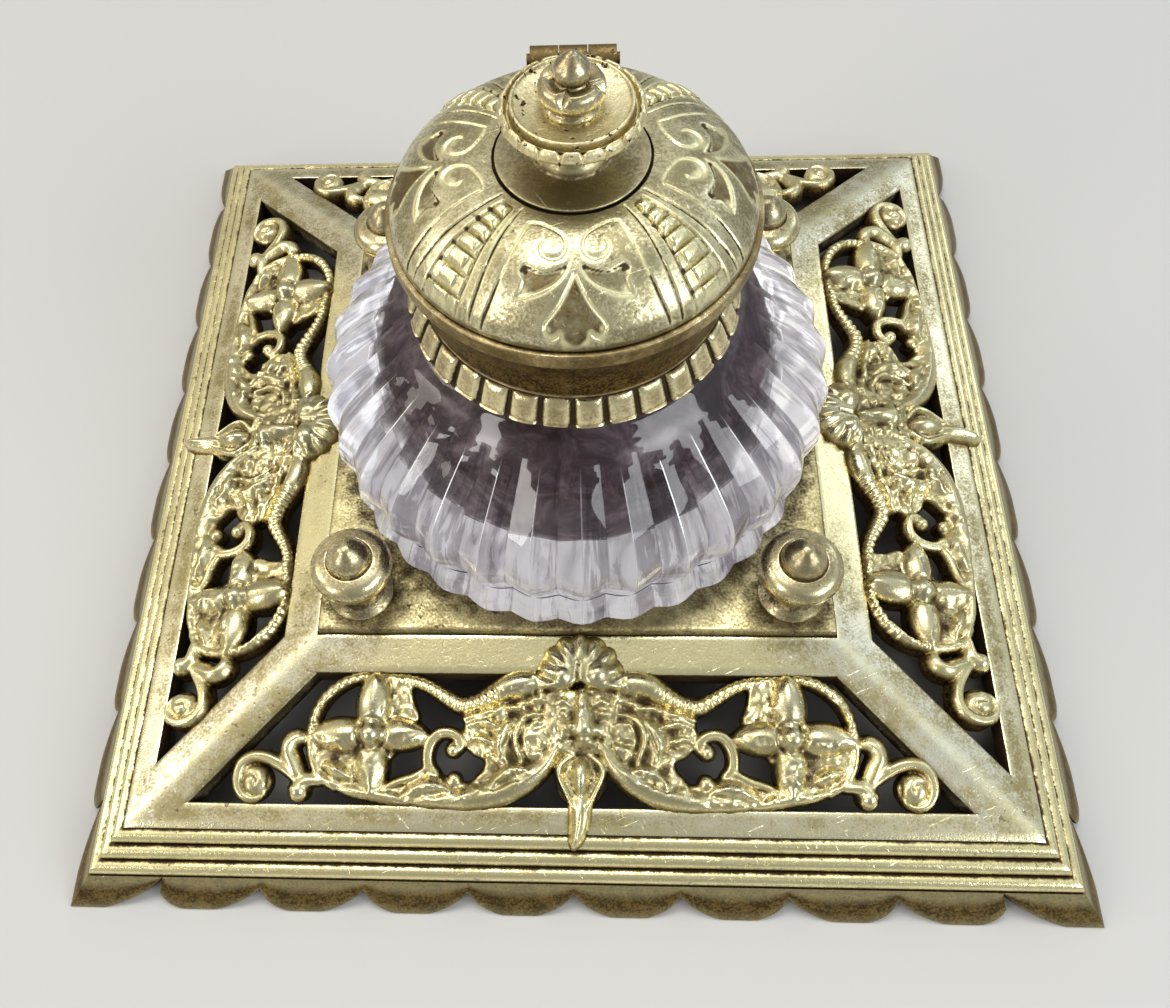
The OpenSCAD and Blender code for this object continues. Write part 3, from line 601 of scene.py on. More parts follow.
def frame_grid():
    """The front side's grid, a closed section at each column of its edge, then those columns, the
    row where the top begins and the row where the underside of the window begins.

    Up the skirt, over the reeds, along the top, round the seat, out under the top and down the
    inside of the skirt.
    """
    down = np.array([SKIRT_OUT, -SKIRT_H]) / math.hypot(SKIRT_OUT, SKIRT_H)
    normal = np.array([SKIRT_H, SKIRT_OUT]) / math.hypot(SKIRT_OUT, SKIRT_H)
    reeds, top, below = frame_profile()
    edge = frame_columns()
    reach = scallop(edge)[:, None]
    top_of_skirt = np.array([REED_OUT, SKIRT_H])
    inner = top_of_skirt - normal * SKIRT_T
    lines = [top_of_skirt + down * (reach * share) - normal * sink for share, sink in SKIRT_ROWS]
    lines += [top_of_skirt + np.array([0.0, 0.1]), *reeds]
    first_top = len(lines)
    lines += [*top, *below]
    for share in INNER_ROWS:
        bevel = 0.25 * max(share - 0.9, 0) / 0.085
        lines.append(inner + down * (reach * share) + normal * bevel)
    lines += [top_of_skirt + down * reach - normal * (SKIRT_T - 0.6)]
    rows = []
    for line in lines:
        out, z = np.broadcast_to(line, (len(edge), 2)).T
        x = np.where(np.abs(edge) >= HALF - 1e-9, np.sign(edge) * out, at_row(edge, out))
        rows.append(np.stack([np.clip(x, -out, out), -out, z], -1))
    return np.array(rows), edge, first_top, first_top + TOP_ROWS + SEAT_ROWS


def round_hips(rows):
    """Rounds the ridge along the hips: z follows the smooth maximum of |x| and |y|."""
    x, y = np.abs(rows[..., 0]), np.abs(rows[..., 1])
    blend = 1.8
    h = np.maximum(blend - np.abs(x - y), 0) / blend
    rows[..., 2] -= h ** 2 * blend / 4 * SLOPE


def round_window(rows):
    """Rounds the edge of the window: z drops by r - sqrt(r^2 - (r - d)^2) within r of the edge."""
    r = 0.5
    x, out = np.abs(rows[..., 0]), -rows[..., 1]
    beyond = (x - (out - HIP_CUT)) / math.sqrt(2)
    d = np.maximum(np.maximum(beyond, out - WINDOW_OUT), WINDOW_IN - out)
    near = np.clip(r - d, 0, r)
    rows[..., 2] -= (r - np.sqrt(r ** 2 - near ** 2)) * 0.8


def quarter_turn(points):
    """(x, y) becomes (-y, x)."""
    return np.stack([-points[..., 1], points[..., 0], points[..., 2]], -1)


def four_sides(side):
    """The front side's grid, without its last column, turned into all four sides."""
    turns = [side[:, :-1]]
    for _ in range(3):
        turns.append(quarter_turn(turns[-1]))
    return np.concatenate(turns, 1)


def window_walls(total, columns, across, above_row, under_row):
    """Walls of the four windows, from the top's rows down to the underside's, which run the other
    way. across are the window's columns on one side; total columns go round all four sides."""
    low, high = above_row, above_row + WINDOW_ROWS
    rows = np.arange(low, high)
    below = under_row + high - rows
    walls = []
    for side in range(4):
        j = side * columns + across
        for top, under, flip in ((low, under_row + WINDOW_ROWS, False), (high, under_row, True)):
            wall = np.stack([top * total + j[:-1], under * total + j[:-1],
                             under * total + j[1:], top * total + j[1:]], -1)
            walls.append(wall if flip else wall[:, ::-1])
        for column, flip in ((j[0], True), (j[-1], False)):
            wall = np.stack([rows * total + column, below * total + column,
                             (below - 1) * total + column, (rows + 1) * total + column], -1)
            walls.append(wall if flip else wall[:, ::-1])
    return walls


def frame_fields(grid, wear_and_shading_marks, first_top, first_under, window):
    """What the finish reads on the base frame: soiling and painted shade between the reeds, painted
    shade under the sides, darker round the windows and at the skirt's foot, brown on the skirt, and polish
    with painted highlights on the reeds, about the hips and on the inner bars."""
    shape = grid.shape[:2]
    top = slice(first_top, first_top + BENT_ROWS)
    inner = slice(first_top + WINDOW_FROM + WINDOW_ROWS, top.stop)
    under = np.zeros(shape)
    # painted shade under the sides; the skirt's foot is made darker
    under[first_under:] = 0.75
    under[:3] = 0.55
    hollow = np.maximum(wear_and_shading_marks["hollow"], np.maximum(under, window * 0.25))
    crest = wear_and_shading_marks["crest"]
    # between the reeds grime and painted shade; on each reed's top polish and a painted highlight
    turn = np.abs(REED_TURN)
    for reed in range(3):
        first = len(SKIRT_ROWS) + 1 + len(turn) * reed
        hollow[first:first + len(turn)] = held((turn - 44) / 28)[:, None]
        crest[first:first + len(turn)] = 1.1 * held((60 - turn) / 40)[:, None]
    # a painted highlight along each hip, and polish with a painted highlight on the inner bars
    beside_hip = np.abs(np.abs(grid[..., 0]) - np.abs(grid[..., 1]))
    ridge = np.exp(-(beside_hip / 1.4) ** 2) * 0.45 + np.exp(-(beside_hip / 7) ** 2) * 0.3
    away = 1 - np.exp(-(beside_hip[inner] / 14) ** 4)
    crest[top] = np.maximum(crest, ridge)[top]
    crest[inner] += 0.8 * away
    umber = np.zeros(shape)
    umber[:len(SKIRT_BROWN)] = np.array(SKIRT_BROWN)[:, None]
    umber += window * 0.8
    silver = np.zeros(shape)
    silver[top] = 0.6 + 0.4 * np.exp(-(beside_hip[top] / 7) ** 2)
    silver[inner] -= 0.5 * away
    return {"hollow": hollow, "crest": crest, "umber": umber, "silver": silver}


def base_frame(material):
    """The square base frame: the front side's grid carried round four sides, with its windows cut
    out between the columns at the hips."""
    front, edge, first_top, first_under = frame_grid()
    round_hips(front[first_top:first_top + BENT_ROWS])
    round_window(front[first_top:first_top + TOP_ROWS])
    columns = len(edge) - 1
    grid = four_sides(front)
    wear_and_shading_marks = wear_and_shading(grid, 0.28, 2, wrap_rows=True)
    grid[..., 2] += 0.05 * ripple(grid, 26, 5) * held(grid[..., 2] / 3)
    grid[..., 2] = np.maximum(grid[..., 2], 0)
    rows, total = grid.shape[:2]
    quads = grid_quads(rows, total, wrap_rows=True)
    low = first_top + WINDOW_FROM
    left, right = (int(np.argmin(np.abs(edge - x))) for x in (HIP_CUT - HALF, HALF - HIP_CUT))
    across = np.arange(left, right + 1)
    keep = np.ones(quads.shape[:2], bool)
    window = np.zeros((rows, total))
    for side in range(4):
        j = side * columns + across
        for row in (low, first_under):
            keep[row:row + WINDOW_ROWS, j[:-1]] = False
        window[np.ix_([low, low + WINDOW_ROWS], j)] = 1
    faces = np.concatenate([quads[keep], *window_walls(total, columns, across, low, first_under)])
    fields = frame_fields(grid, wear_and_shading_marks, first_top, first_under, window)
    points, faces, fields = without_spares(grid, faces, fields)
    new_piece("base_frame", points, [faces], "stand", material, ["rim_frame"], fields, sharp=38)


# ---- Scroll panels --------------------------------------------------------------------------

MID_U = 0.8
FLOWER = (31.3, 52.7)
EYE_RING = [(FLOWER[0] + 2.2 * math.cos(t), FLOWER[1] + 2.2 * math.sin(t)) for t in np.linspace(0, 6.3, 13)]
PANEL_END, PANEL_IN, PANEL_OUT = 53.5, 37.6, 68.6
RELIEF_STEP = 0.21
RIM = -0.45
PANEL_BACK = -2.0
STOUT = 1.14


def to_line(u, v, a, b):
    """Distance of places from the line between a and b, and the share of it nearest to them."""
    step = b - a
    square = max(math.hypot(*step) ** 2, 1e-9)
    t = held(((u - a[0]) * step[0] + (v - a[1]) * step[1]) / square)
    return np.hypot(u - a[0] - t * step[0], v - a[1] - t * step[1]), t


class Relief:
    """A pattern in relief on a grid of places (u, v): how far each lies inside the metal, its height.

    u runs along the side, v outwards from the middle of the stand, both in mm. Shapes join by
    taking the larger of the two values.
    """

    def __init__(self, u, v):
        self.u, self.v = np.meshgrid(u, v)
        self.inside = np.full(self.u.shape, -9.0)
        self.height = np.full(self.u.shape, RIM)
        self.rough = np.zeros(self.u.shape)
        self.mirrored = False

    def placed(self, points):
        """The points, mirrored about the pattern's middle while the left half is made."""
        points = np.array(points, float)
        if self.mirrored:
            points[:, 0] = 2 * MID_U - points[:, 0]
        return points

    def near(self, path, reach):
        """The part of the grid about a path."""
        low, high = path.min(0) - reach, path.max(0) + reach
        i = np.searchsorted(self.v[:, 0], [low[1], high[1]])
        j = np.searchsorted(self.u[0], [low[0], high[0]])
        return slice(*i), slice(*j)

    def follow(self, path, widths, part):
        """Distance inside a path of varying half width, share across it, and length along it."""
        u, v = self.u[part], self.v[part]
        best, across, along = np.full(u.shape, -9.0), np.ones(u.shape), np.zeros(u.shape)
        start = 0.0
        for (a, b), (wa, wb) in zip(zip(path[:-1], path[1:]), zip(widths[:-1], widths[1:])):
            length = math.hypot(*(b - a))
            d, t = to_line(u, v, a, b)
            w = wa + (wb - wa) * t
            better = w - d > best
            best = np.where(better, w - d, best)
            across = np.where(better, d / w, across)
            along = np.where(better, start + t * length, along)
            start += length
        return best, across, along, start

    def put(self, part, inside, height):
        """Joins a shape to a part of the grid."""
        self.inside[part] = np.maximum(self.inside[part], inside)
        self.height[part] = np.where(inside > 0, np.maximum(self.height[part], height), self.height[part])

    def stroke(self, points, widths, height, groove=0.0, ribs=0.0, pitch=1.1, fold=0.0,
               ribs_from=0.0, ribs_to=1.0):
        """A rounded strand: height = rim + (top - rim) (1 - share across^2)^0.5.

        groove sinks its middle, ribs sink lines across it, fold sharpens its ridge.
        """
        path = strand(self.placed(points), 5, np.multiply(widths, STOUT), height)
        part = self.near(path[:, :2], path[:, 2].max() + 0.5)
        best, across, along, total = self.follow(path[:, :2], np.maximum(path[:, 2], 0.05), part)
        steps = np.r_[0, np.cumsum(np.hypot(*np.diff(path[:, :2], axis=0).T))]
        top = np.interp(along, steps, path[:, 3])
        share = held(across)
        section = (1 - share ** 2) ** 0.5 * (1 - fold) + (1 - share) * fold
        z = RIM + (top - RIM) * section
        z = z - groove * np.exp(-(share / 0.28) ** 2)
        t = along / total
        on = (t > ribs_from) & (t < ribs_to)
        z = z - on * ribs * (0.5 + 0.5 * np.cos(2 * math.pi * along / pitch)) ** 2
        self.put(part, best, z)

    def dome(self, centre, radius, height, power=0.5):
        """A boss: height = rim + (top - rim) (1 - (distance / radius)^2)^power."""
        centre = self.placed([centre])
        part = self.near(centre, radius + 0.5)
        d = np.hypot(self.u[part] - centre[0, 0], self.v[part] - centre[0, 1])
        share = held(d / radius)
        self.put(part, radius - d, RIM + (height - RIM) * (1 - share ** 2) ** power)

    def plate(self, corners, height, rough=0.3):
        """A web with a rough skin, its edge falling to the rim over 0.6 mm."""
        p = curve(self.placed([*corners, corners[0]]), 4)
        part = self.near(p, 0.8)
        u, v = self.u[part], self.v[part]
        odd = np.zeros(u.shape, bool)
        edge = np.full(u.shape, 9.0)
        for a, b in zip(p[:-1], p[1:]):
            edge = np.minimum(edge, to_line(u, v, a, b)[0])
            crosses = (a[1] > v) != (b[1] > v)
            odd ^= crosses & (u < a[0] + (v - a[1]) / (b[1] - a[1] + 1e-12) * (b[0] - a[0]))
        inside = np.where(odd, edge, -edge)
        share = held(inside / 0.6)
        z = RIM + (height - RIM) * (1 - (1 - share) ** 2) ** 0.5
        self.rough[part] = np.where((inside > 0) & (z > self.height[part]), rough, self.rough[part])
        self.put(part, inside, z)

    def petal(self, tip, width, top, waist):
        """A petal of the flower, ridged along its middle: half width = width sin(pi t)^0.8 along it."""
        t = np.linspace(0, 1, 9)
        shape = np.sin(math.pi * (0.12 + 0.86 * t)) ** 0.8
        height = waist + (top - waist) * np.sin(math.pi * (0.2 + 0.7 * t))
        points = [(FLOWER[0] + (tip[0] - FLOWER[0]) * k, FLOWER[1] + (tip[1] - FLOWER[1]) * k)
                  for k in 0.1 + 0.9 * t]
        self.stroke(points, np.maximum(width * shape, 0.15), height, fold=0.12)

    def cut(self, points, widths, depth):
        """Sinks a soft line into what is there."""
        path = strand(self.placed(points), 5, widths)
        part = self.near(path[:, :2], path[:, 2].max() * 2.5)
        _, across, _, _ = self.follow(path[:, :2], np.maximum(path[:, 2], 0.05), part)
        self.height[part] -= depth * np.exp(-across ** 2 * 1.2)


def soft_noise(shape, size, seed):
    """Smooth random values between about -1 and 1 on a grid, spots some cells wide."""
    rng = np.random.default_rng(seed)
    values = rng.normal(size=shape)
    for axis in (0, 1):
        for _ in range(3):
            total = sum(np.roll(values, k, axis) for k in range(-size, size + 1))
            values = total / (2 * size + 1)
    return values / (values.std() * 2)


def blurred(values, reach):
    """Mean over a square of cells, twice."""
    for axis in (0, 1, 0, 1):
        padded = np.pad(values, [(reach, reach) if a == axis else (0, 0) for a in (0, 1)], mode="edge")
        total = np.cumsum(np.insert(padded, 0, 0, axis), axis)
        n = values.shape[axis]
        upper = np.take(total, np.arange(2 * reach + 1, 2 * reach + 1 + n), axis)
        values = (upper - np.take(total, np.arange(n), axis)) / (2 * reach + 1)
    return values


FOLIAGE = [
    # webs
    ("plate", [(0, 47), (5, 46.3), (8, 45.8), (13, 48.2), (17.4, 49.6), (17.8, 51), (18, 52.5),
     (17.6, 54.2), (16.3, 55.6), (14.8, 56.3), (15, 57.4), (16, 58.5), (17.4, 60.5), (9, 59), (4, 54.5),
     (0, 54)], 0.65, 0.6),
    ("plate", [(25.4, 45.2), (28.5, 44.6), (29.5, 50), (25.5, 51.2), (24.2, 50.4), (25.1, 48)], 0.55,
     0.5),
    ("plate", [(33, 53), (36, 53.4), (40, 52.8), (40.3, 55.5), (39.3, 57.8), (36.5, 60), (33, 60.7),
     (30.2, 60.5), (31, 56.5)], 0.5, 0.5),
    ("plate", [(22.8, 51.8), (25, 52.4), (29.5, 53), (31, 54), (31.2, 60.5), (29.6, 59.8), (28.7, 56.6),
     (25.6, 54.3), (23.8, 54.2)], 0.1, 0.4),
    ("plate", [(14.5, 59.2), (18.5, 59), (23, 57.6), (25.5, 59.4), (29, 60.3), (27, 62), (18, 62)], 0.4,
     0.45),
    # arm that leaves the mask and carries the flower
    ("stroke", [(6.4, 46), (8.2, 45.5), (10.6, 45.8), (13.1, 47), (15.5, 48.3), (18, 48.7), (20.4, 47.6),
     (22.8, 46.2), (25.5, 45.3), (29.5, 44.9)], [1.4, 1.7, 1.7, 1.5, 1.35, 1.25, 1.1, 0.95, 0.85, 0.7],
     [1.2, 1.9, 2, 1.7, 1.4, 1.2, 1.1, 1, 0.9, 0.7], {"ribs": 0.55, "pitch": 1.15, "ribs_from": 0.24}),
    ("stroke", [(6, 46.6), (6.6, 45.2), (7.6, 44.3)], [0.5, 0.6, 0.4], [1.6, 1.9, 1.6]),
    # ring
    ("stroke", [(32.2, 44.6), (33.6, 44.9), (35.6, 45.6), (37.9, 47.2), (39.5, 49.5), (40.2, 52),
     (40.3, 54.5), (39.8, 56.8), (38.5, 58.8), (36.5, 60.2)],
     [0.5, 0.75, 0.85, 0.9, 0.85, 0.8, 0.7, 0.7, 0.7, 0.6],
     [0.8, 1.2, 1.3, 1.3, 1.3, 1.2, 1.1, 1, 1, 0.8], {"ribs": 0.4, "pitch": 1.25, "ribs_to": 0.62}),
    ("stroke", [(40, 51), (39.4, 49.2), (38, 47.9), (36.8, 47.1)], [0.35, 0.4, 0.35, 0.2],
     [1.3, 1.5, 1.4, 1]),
    # flower
    ("petal", (30.8, 44.4), 2.55, 2.5, 1.2),
    ("petal", (23, 52.9), 2.25, 2.2, 1),
    ("petal", (40.2, 53), 2.3, 2.2, 1),
    ("petal", (31, 61.3), 2.3, 2.1, 1.1),
    ("cut", EYE_RING, 0.2, 0.5),
    ("dome", FLOWER, 2.2, 3.1),
    # leaf below the flower
    ("stroke", [(34.3, 58.6), (35.6, 58), (37, 57.4), (38.4, 57.2)], [0.4, 1.15, 1.1, 0.3],
     [1.3, 1.8, 1.8, 1.2], {"fold": 0.3}),
    # curl beside the flower
    ("stroke", [(19, 55), (18.2, 54.2), (18.4, 53.2), (19.6, 52.5), (21.2, 52.6), (22.3, 53.6),
     (22.9, 55.2), (22.8, 57), (22, 58.6), (23.6, 60)],
     [0.8, 0.85, 0.8, 0.85, 0.9, 0.9, 0.9, 0.9, 1, 0.7], [1, 1.2, 1.3, 1.4, 1.4, 1.3, 1.2, 1.1, 1, 0.8],
     {"groove": 0.35}),
    ("dome", (19.2, 54.8), 1.3, 1.5),
    ("stroke", [(23.2, 57.6), (25, 58.6), (27.4, 59.3), (29.6, 60.4)], [0.6, 0.7, 0.65, 0.5],
     [1, 1.1, 1, 0.8]),
    ("dome", (19, 58.9), 1.2, 0.9),
    ("stroke", [(19.5, 60.4), (21.5, 59.6), (24, 60), (26.4, 61.2)], [0.5, 1.3, 1.5, 0.5],
     [1.2, 1.9, 1.9, 1.2], {"fold": 0.3}),
    # long acanthus leaf along the foot
    ("stroke", [(3, 52.4), (4.4, 54.8), (6, 57), (8.5, 58.8), (12, 60.2), (16, 61.2), (20, 61.6),
     (24, 61.7), (27, 61.4)], [0.4, 0.85, 1.3, 1.75, 1.9, 1.6, 1.2, 0.9, 0.4],
     [1.5, 1.8, 2, 2.1, 2, 1.7, 1.5, 1.2, 0.8], {"fold": 0.15}),
    ("stroke", [(8.4, 57.4), (10.2, 57.4), (12, 58.2), (13.8, 59.7)], [0.5, 1.1, 1, 0.25],
     [1.8, 2.4, 2.1, 1.2], {"fold": 0.2}),
    ("cut", [(9.6, 58.6), (11.6, 59.2), (13.2, 60.1)], 0.2, 0.6),
    # vine along the foot and its ball
    ("stroke", [(25.5, 62), (28, 61.4), (31, 60.9), (34, 60.6), (37, 59.6), (39.5, 58.9), (41.5, 58.6)],
     [0.5, 0.95, 1, 0.85, 0.7, 0.75, 0.8], [0.9, 1.3, 1.4, 1.3, 1.1, 1.2, 1.2], {"fold": 0.25}),
    ("stroke", [(38.8, 59.3), (40.6, 59.3), (41.7, 60)], [0.8, 1, 1.1], [1.2, 1.5, 1.6]),
    ("dome", (41.8, 60.6), 1.7, 1.8),
    # hooked leaf
    ("stroke", [(42.3, 58.2), (43, 56.6), (43.6, 55.2), (43.2, 53.9), (42.1, 53.3), (41.2, 53.7)],
     [1.3, 1.4, 1.35, 1.3, 1.1, 0.6], [1.2, 1.5, 1.7, 1.6, 1.3, 0.8], {"fold": 0.2}),
    # end volute
    ("stroke", [(42.3, 58.8), (44.3, 57.3), (46.5, 56.2), (48.6, 56), (50.2, 56.9), (50.9, 58.6),
     (50.7, 60.2), (49.7, 61.3), (48.3, 61.5), (47.2, 60.8), (47, 59.7), (47.8, 58.9), (48.8, 58.9)],
     [0.8, 0.9, 0.9, 0.85, 0.85, 0.8, 0.8, 0.8, 0.8, 0.75, 0.7, 0.6, 0.4],
     [1.2, 1.3, 1.4, 1.4, 1.4, 1.4, 1.4, 1.4, 1.4, 1.4, 1.5, 1.5, 1.5], {"groove": 0.3}),
    ("dome", (48.3, 59.5), 2.5, 1.5),
    ("cut", [(46.4, 58.2), (46.3, 60), (47.6, 61.3), (49.4, 60.9), (50, 59.4), (49.1, 58.3), (48, 58.7),
     (48, 59.7)], 0.22, 0.6),
    # leafage beside the mask: a rough oval in a ridge, three veined leaves, small curls
    ("plate", [(5.4, 50.4), (8.2, 50.6), (9.3, 52.4), (9, 54.8), (7.6, 56.6), (5.6, 54.8), (4.8, 52.4)],
     1.35, 0.9),
    ("stroke", [(5.2, 50.2), (4.6, 52.2), (5, 54.4), (6.4, 56.4), (8.4, 57)], [0.4, 0.55, 0.55, 0.6, 0.4],
     [1.2, 1.5, 1.6, 1.6, 1.2]),
    ("stroke", [(6, 49.8), (8.2, 49.9), (9.8, 51.4), (10.1, 53.6), (9.4, 55.6), (9, 57)],
     [0.4, 0.55, 0.6, 0.6, 0.55, 0.4], [1.3, 1.7, 1.9, 1.8, 1.6, 1.2]),
    ("stroke", [(10.2, 50.4), (11.4, 51.8), (12.2, 53.4), (12, 55.2), (10.9, 56.8)],
     [0.5, 1.25, 1.5, 1.2, 0.4], [1.3, 2, 2.1, 1.8, 1.1], {"fold": 0.3}),
    ("stroke", [(12, 52), (13.6, 51.2), (15.4, 51), (17.2, 51.6)], [0.6, 0.95, 0.95, 0.4],
     [1.6, 1.8, 1.6, 1.1], {"fold": 0.3}),
    ("stroke", [(12.8, 54.6), (14, 53.6), (15.4, 53.1), (17, 53.4)], [0.5, 0.85, 0.85, 0.4],
     [1.3, 1.6, 1.5, 1], {"fold": 0.3}),
    ("stroke", [(9, 48.9), (12, 49), (15, 49.8), (17.6, 50.5)], [0.4, 0.7, 0.7, 0.4], [1.2, 1.4, 1.3, 1]),
    ("stroke", [(11.6, 57.4), (12.6, 56.2), (14.2, 55.5)], [0.4, 0.7, 0.4], [1.2, 1.4, 1]),
    ("stroke", [(4.8, 48.4), (6.6, 47.7), (8.6, 48.1), (9.8, 48.2)], [0.5, 0.65, 0.65, 0.4],
     [1.3, 1.6, 1.5, 1.1]),
    ("dome", (4.8, 49.6), 0.95, 1.5),
    ("dome", (6.2, 46.9), 0.9, 1.7),
    ("cut", [(10.6, 51.6), (11.55, 53.7), (12.1, 55.8)], 0.16, 0.45),
    ("cut", [(12.6, 51.9), (14.8, 51.65), (16.6, 51.4)], 0.16, 0.45),
    ("cut", [(13.4, 54.3), (15.1, 53.85), (16.4, 53.4)], 0.16, 0.45),
    ("cut", [(8, 47.8), (12, 48.3), (16, 49.4), (18, 50)], 0.3, 0.7),
]


def draw(relief, shapes):
    """Adds shapes to a relief: each names its method and gives its values, and options if it has any."""
    for way, *values in shapes:
        options = values.pop() if isinstance(values[-1], dict) else {}
        getattr(relief, way)(*values, **options)


MASK = [
    # bosses and beads under the shell, and the lines between them
    ("dome", (-1.7, 44.4), 2.3, 3.2, 0.6),
    ("dome", (3.4, 44.2), 2.7, 3.5, 0.6),
    ("dome", (6, 45.3), 1.1, 2),
    ("dome", (-4.2, 45.4), 1.1, 2),
    ("cut", [(-4.2, 46.5), (-1.6, 46.7), (0.6, 46.4), (3.2, 46.9), (6, 46.6)], 0.35, 0.8),
    ("cut", [(0.7, 42.6), (0.5, 44.4), (0.6, 46.2)], 0.22, 0.7),
    # face: its bed, the nose, the brows and the mouth
    ("plate", [(-4.5, 46.5), (6, 46.5), (6, 53), (4.5, 55.2), (-2.5, 55.2), (-4.5, 53)], 1.25, 0.4),
    ("stroke", [(1.2, 46.9), (1.3, 48.6), (1.45, 50.4), (1.5, 51.8)], [1, 1.25, 1.6, 2],
     [2.2, 2.6, 3, 3.2]),
    ("dome", (-0.4, 51.4), 1.1, 2.5),
    ("dome", (3.1, 51.7), 1.1, 2.5),
    ("stroke", [(-0.8, 50.4), (0.1, 49.6), (0.2, 48.2)], [0.3, 0.3, 0.2], [1.4, 1.5, 1.2]),
    ("stroke", [(3.4, 50.6), (2.6, 49.6), (2.4, 48)], [0.3, 0.3, 0.2], [1.4, 1.5, 1.2]),
    ("stroke", [(-0.5, 48.6), (-1.7, 47.9), (-3, 48.4)], [0.4, 0.6, 0.4], [1.5, 2, 1.5]),
    ("dome", (-1.6, 49.6), 0.85, 1.8),
    ("stroke", [(-0.8, 53.4), (-1.4, 52), (-1.9, 51)], [0.6, 1.1, 0.8], [1.3, 1.9, 1.5]),
    ("stroke", [(2.9, 48.6), (4.1, 47.9), (5.4, 48.4)], [0.4, 0.6, 0.4], [1.5, 2, 1.5]),
    ("dome", (4, 49.6), 0.85, 1.8),
    ("stroke", [(3.2, 53.4), (3.8, 52), (4.3, 51)], [0.6, 1.1, 0.8], [1.3, 1.9, 1.5]),
    ("stroke", [(0.4, 53.8), (1.5, 53.6), (3, 53.9)], [0.6, 0.85, 0.6], [1.7, 2.1, 1.7]),
    ("cut", [(-1.6, 53.2), (1.4, 52.8), (4.2, 53.2)], 0.25, 0.6),
    # bud in its husk
    ("stroke", [(0.9, 54.6), (1, 56.6), (1, 58.6), (1, 60.6), (0.9, 62.4)], [1.8, 3.3, 3.3, 2.3, 1.5],
     [0.5, 0.9, 0.9, 0.9, 0.9]),
    ("stroke", [(-0.2, 55.2), (-1.9, 56.6), (-2.1, 58.2), (-0.9, 60.6), (0.1, 62.6)],
     [0.4, 0.55, 0.55, 0.55, 0.4], [1.3, 1.9, 1.9, 1.8, 1.6]),
    ("stroke", [(-0.4, 56.6), (-1, 58.2), (0.1, 61)], [0.2, 0.3, 0.2], [1.1, 1.3, 1.3]),
    ("stroke", [(2.2, 55.2), (3.9, 56.6), (4.1, 58.2), (2.9, 60.6), (1.9, 62.6)],
     [0.4, 0.55, 0.55, 0.55, 0.4], [1.3, 1.9, 1.9, 1.8, 1.6]),
    ("stroke", [(2.4, 56.6), (3, 58.2), (1.9, 61)], [0.2, 0.3, 0.2], [1.1, 1.3, 1.3]),
    ("stroke", [(0.9, 55.9), (1, 57.2), (1.05, 58.6), (1, 60.2), (1, 61.6)], [0.7, 1.45, 1.5, 0.9, 0.3],
     [1.7, 2.5, 2.6, 2.1, 1.6], {"fold": 0.2}),
    # pendant leaf
    ("stroke", [(1, 60.6), (0.95, 62.6), (0.75, 64.6), (0.35, 66.4), (0, 67.6)],
     [1, 1.6, 1.45, 1.15, 0.55], [1.6, 2.2, 2.3, 2.2, 1.6], {"fold": 0.3}),
    ("cut", [(1.5, 62.2), (1.3, 64.6), (0.8, 66.2)], 0.22, 0.4),
]


def shell(relief):
    """The fluted shell over the mask: a dome with 15 flutes whose outline dips towards its ends."""
    u, v = relief.u, relief.v
    x, y = u - 0.95, 45.3 - v
    angle, r = np.arctan2(x, y), np.hypot(x, y)
    flutes = np.cos(angle * 15)
    outline = 6.85 + 0.14 * flutes - 0.16 * angle ** 2
    share = held(r / outline)
    z = RIM + (3.1 - RIM) * (1 - share ** 3) ** 0.5 - 0.5 * (1 - share) ** 0.5
    z = z + 0.36 * flutes * held((share - 0.42) / 0.3) * (share < 1)
    inside = np.where(np.abs(angle) < 1.95, outline - r, -9)
    relief.put((slice(None), slice(None)), inside, z)


def scroll_field(step):
    """The relief of a panel: its places u and v, how far inside the metal they lie, their height,
    and how far below the mean height about them."""
    u = np.arange(-PANEL_END, 2 * MID_U + PANEL_END + step, step)
    v = np.arange(PANEL_IN, PANEL_OUT, step)
    relief = Relief(u, v)
    for mirrored in (True, False):
        relief.mirrored = mirrored
        draw(relief, FOLIAGE)
    shell(relief)
    draw(relief, MASK)
    skin = soft_noise(relief.u.shape, 1, 4) * 0.75 + soft_noise(relief.u.shape, 2, 8) * 0.6
    z = relief.height + relief.rough * skin * held(relief.inside / 0.5) * 0.55
    inside = relief.inside
    core = np.maximum(z, RIM)
    z = 0.5 * core + 0.5 * blurred(core, 1)
    z = z + 0.10 * soft_noise(z.shape, 7, 11)
    over = blurred(z, 3) * 0.5 + blurred(z, 8) * 0.5 - z
    return relief.u, relief.v, inside, z, over


def on_outline(inside, keep, step):
    """How far each place beside the kept cells moves to lie on the outline, in u and in v:
    -inside grad(inside) / |grad(inside)|^2."""
    rows, cols = inside.shape
    count = np.zeros(inside.shape, int)
    for i in (0, 1):
        for j in (0, 1):
            count[i:rows - 1 + i, j:cols - 1 + j] += keep
    edge = (count > 0) & (count < 4)
    smooth = 0.5 * inside + 0.5 * blurred(inside, 1)
    gv, gu = np.gradient(smooth, step)
    scale = np.where(edge, np.clip(smooth, -step, step) / np.maximum(gu ** 2 + gv ** 2, 0.3), 0)
    return -gu * scale, -gv * scale


def panel_faces(keep):
    """Quads of the top over the kept cells, of the back under them and of the walls between."""
    rows, cols = keep.shape[0] + 1, keep.shape[1] + 1
    total = rows * cols
    index = np.arange(total).reshape(rows, cols)
    cells = np.stack([index[:-1, :-1], index[1:, :-1], index[1:, 1:], index[:-1, 1:]], -1)[keep]
    padded = np.pad(keep, 1)
    walls = []
    for a, b, here, beside in ((index[:, :-1], index[:, 1:], padded[1:, 1:-1], padded[:-1, 1:-1]),
                               (index[1:, :], index[:-1, :], padded[1:-1, 1:], padded[1:-1, :-1])):
        for first, second, on in ((a, b, here & ~beside), (b, a, beside & ~here)):
            walls.append(np.stack([first[on], second[on], second[on] + total, first[on] + total], -1))
    return np.concatenate([cells, cells[:, ::-1] + total, *walls])


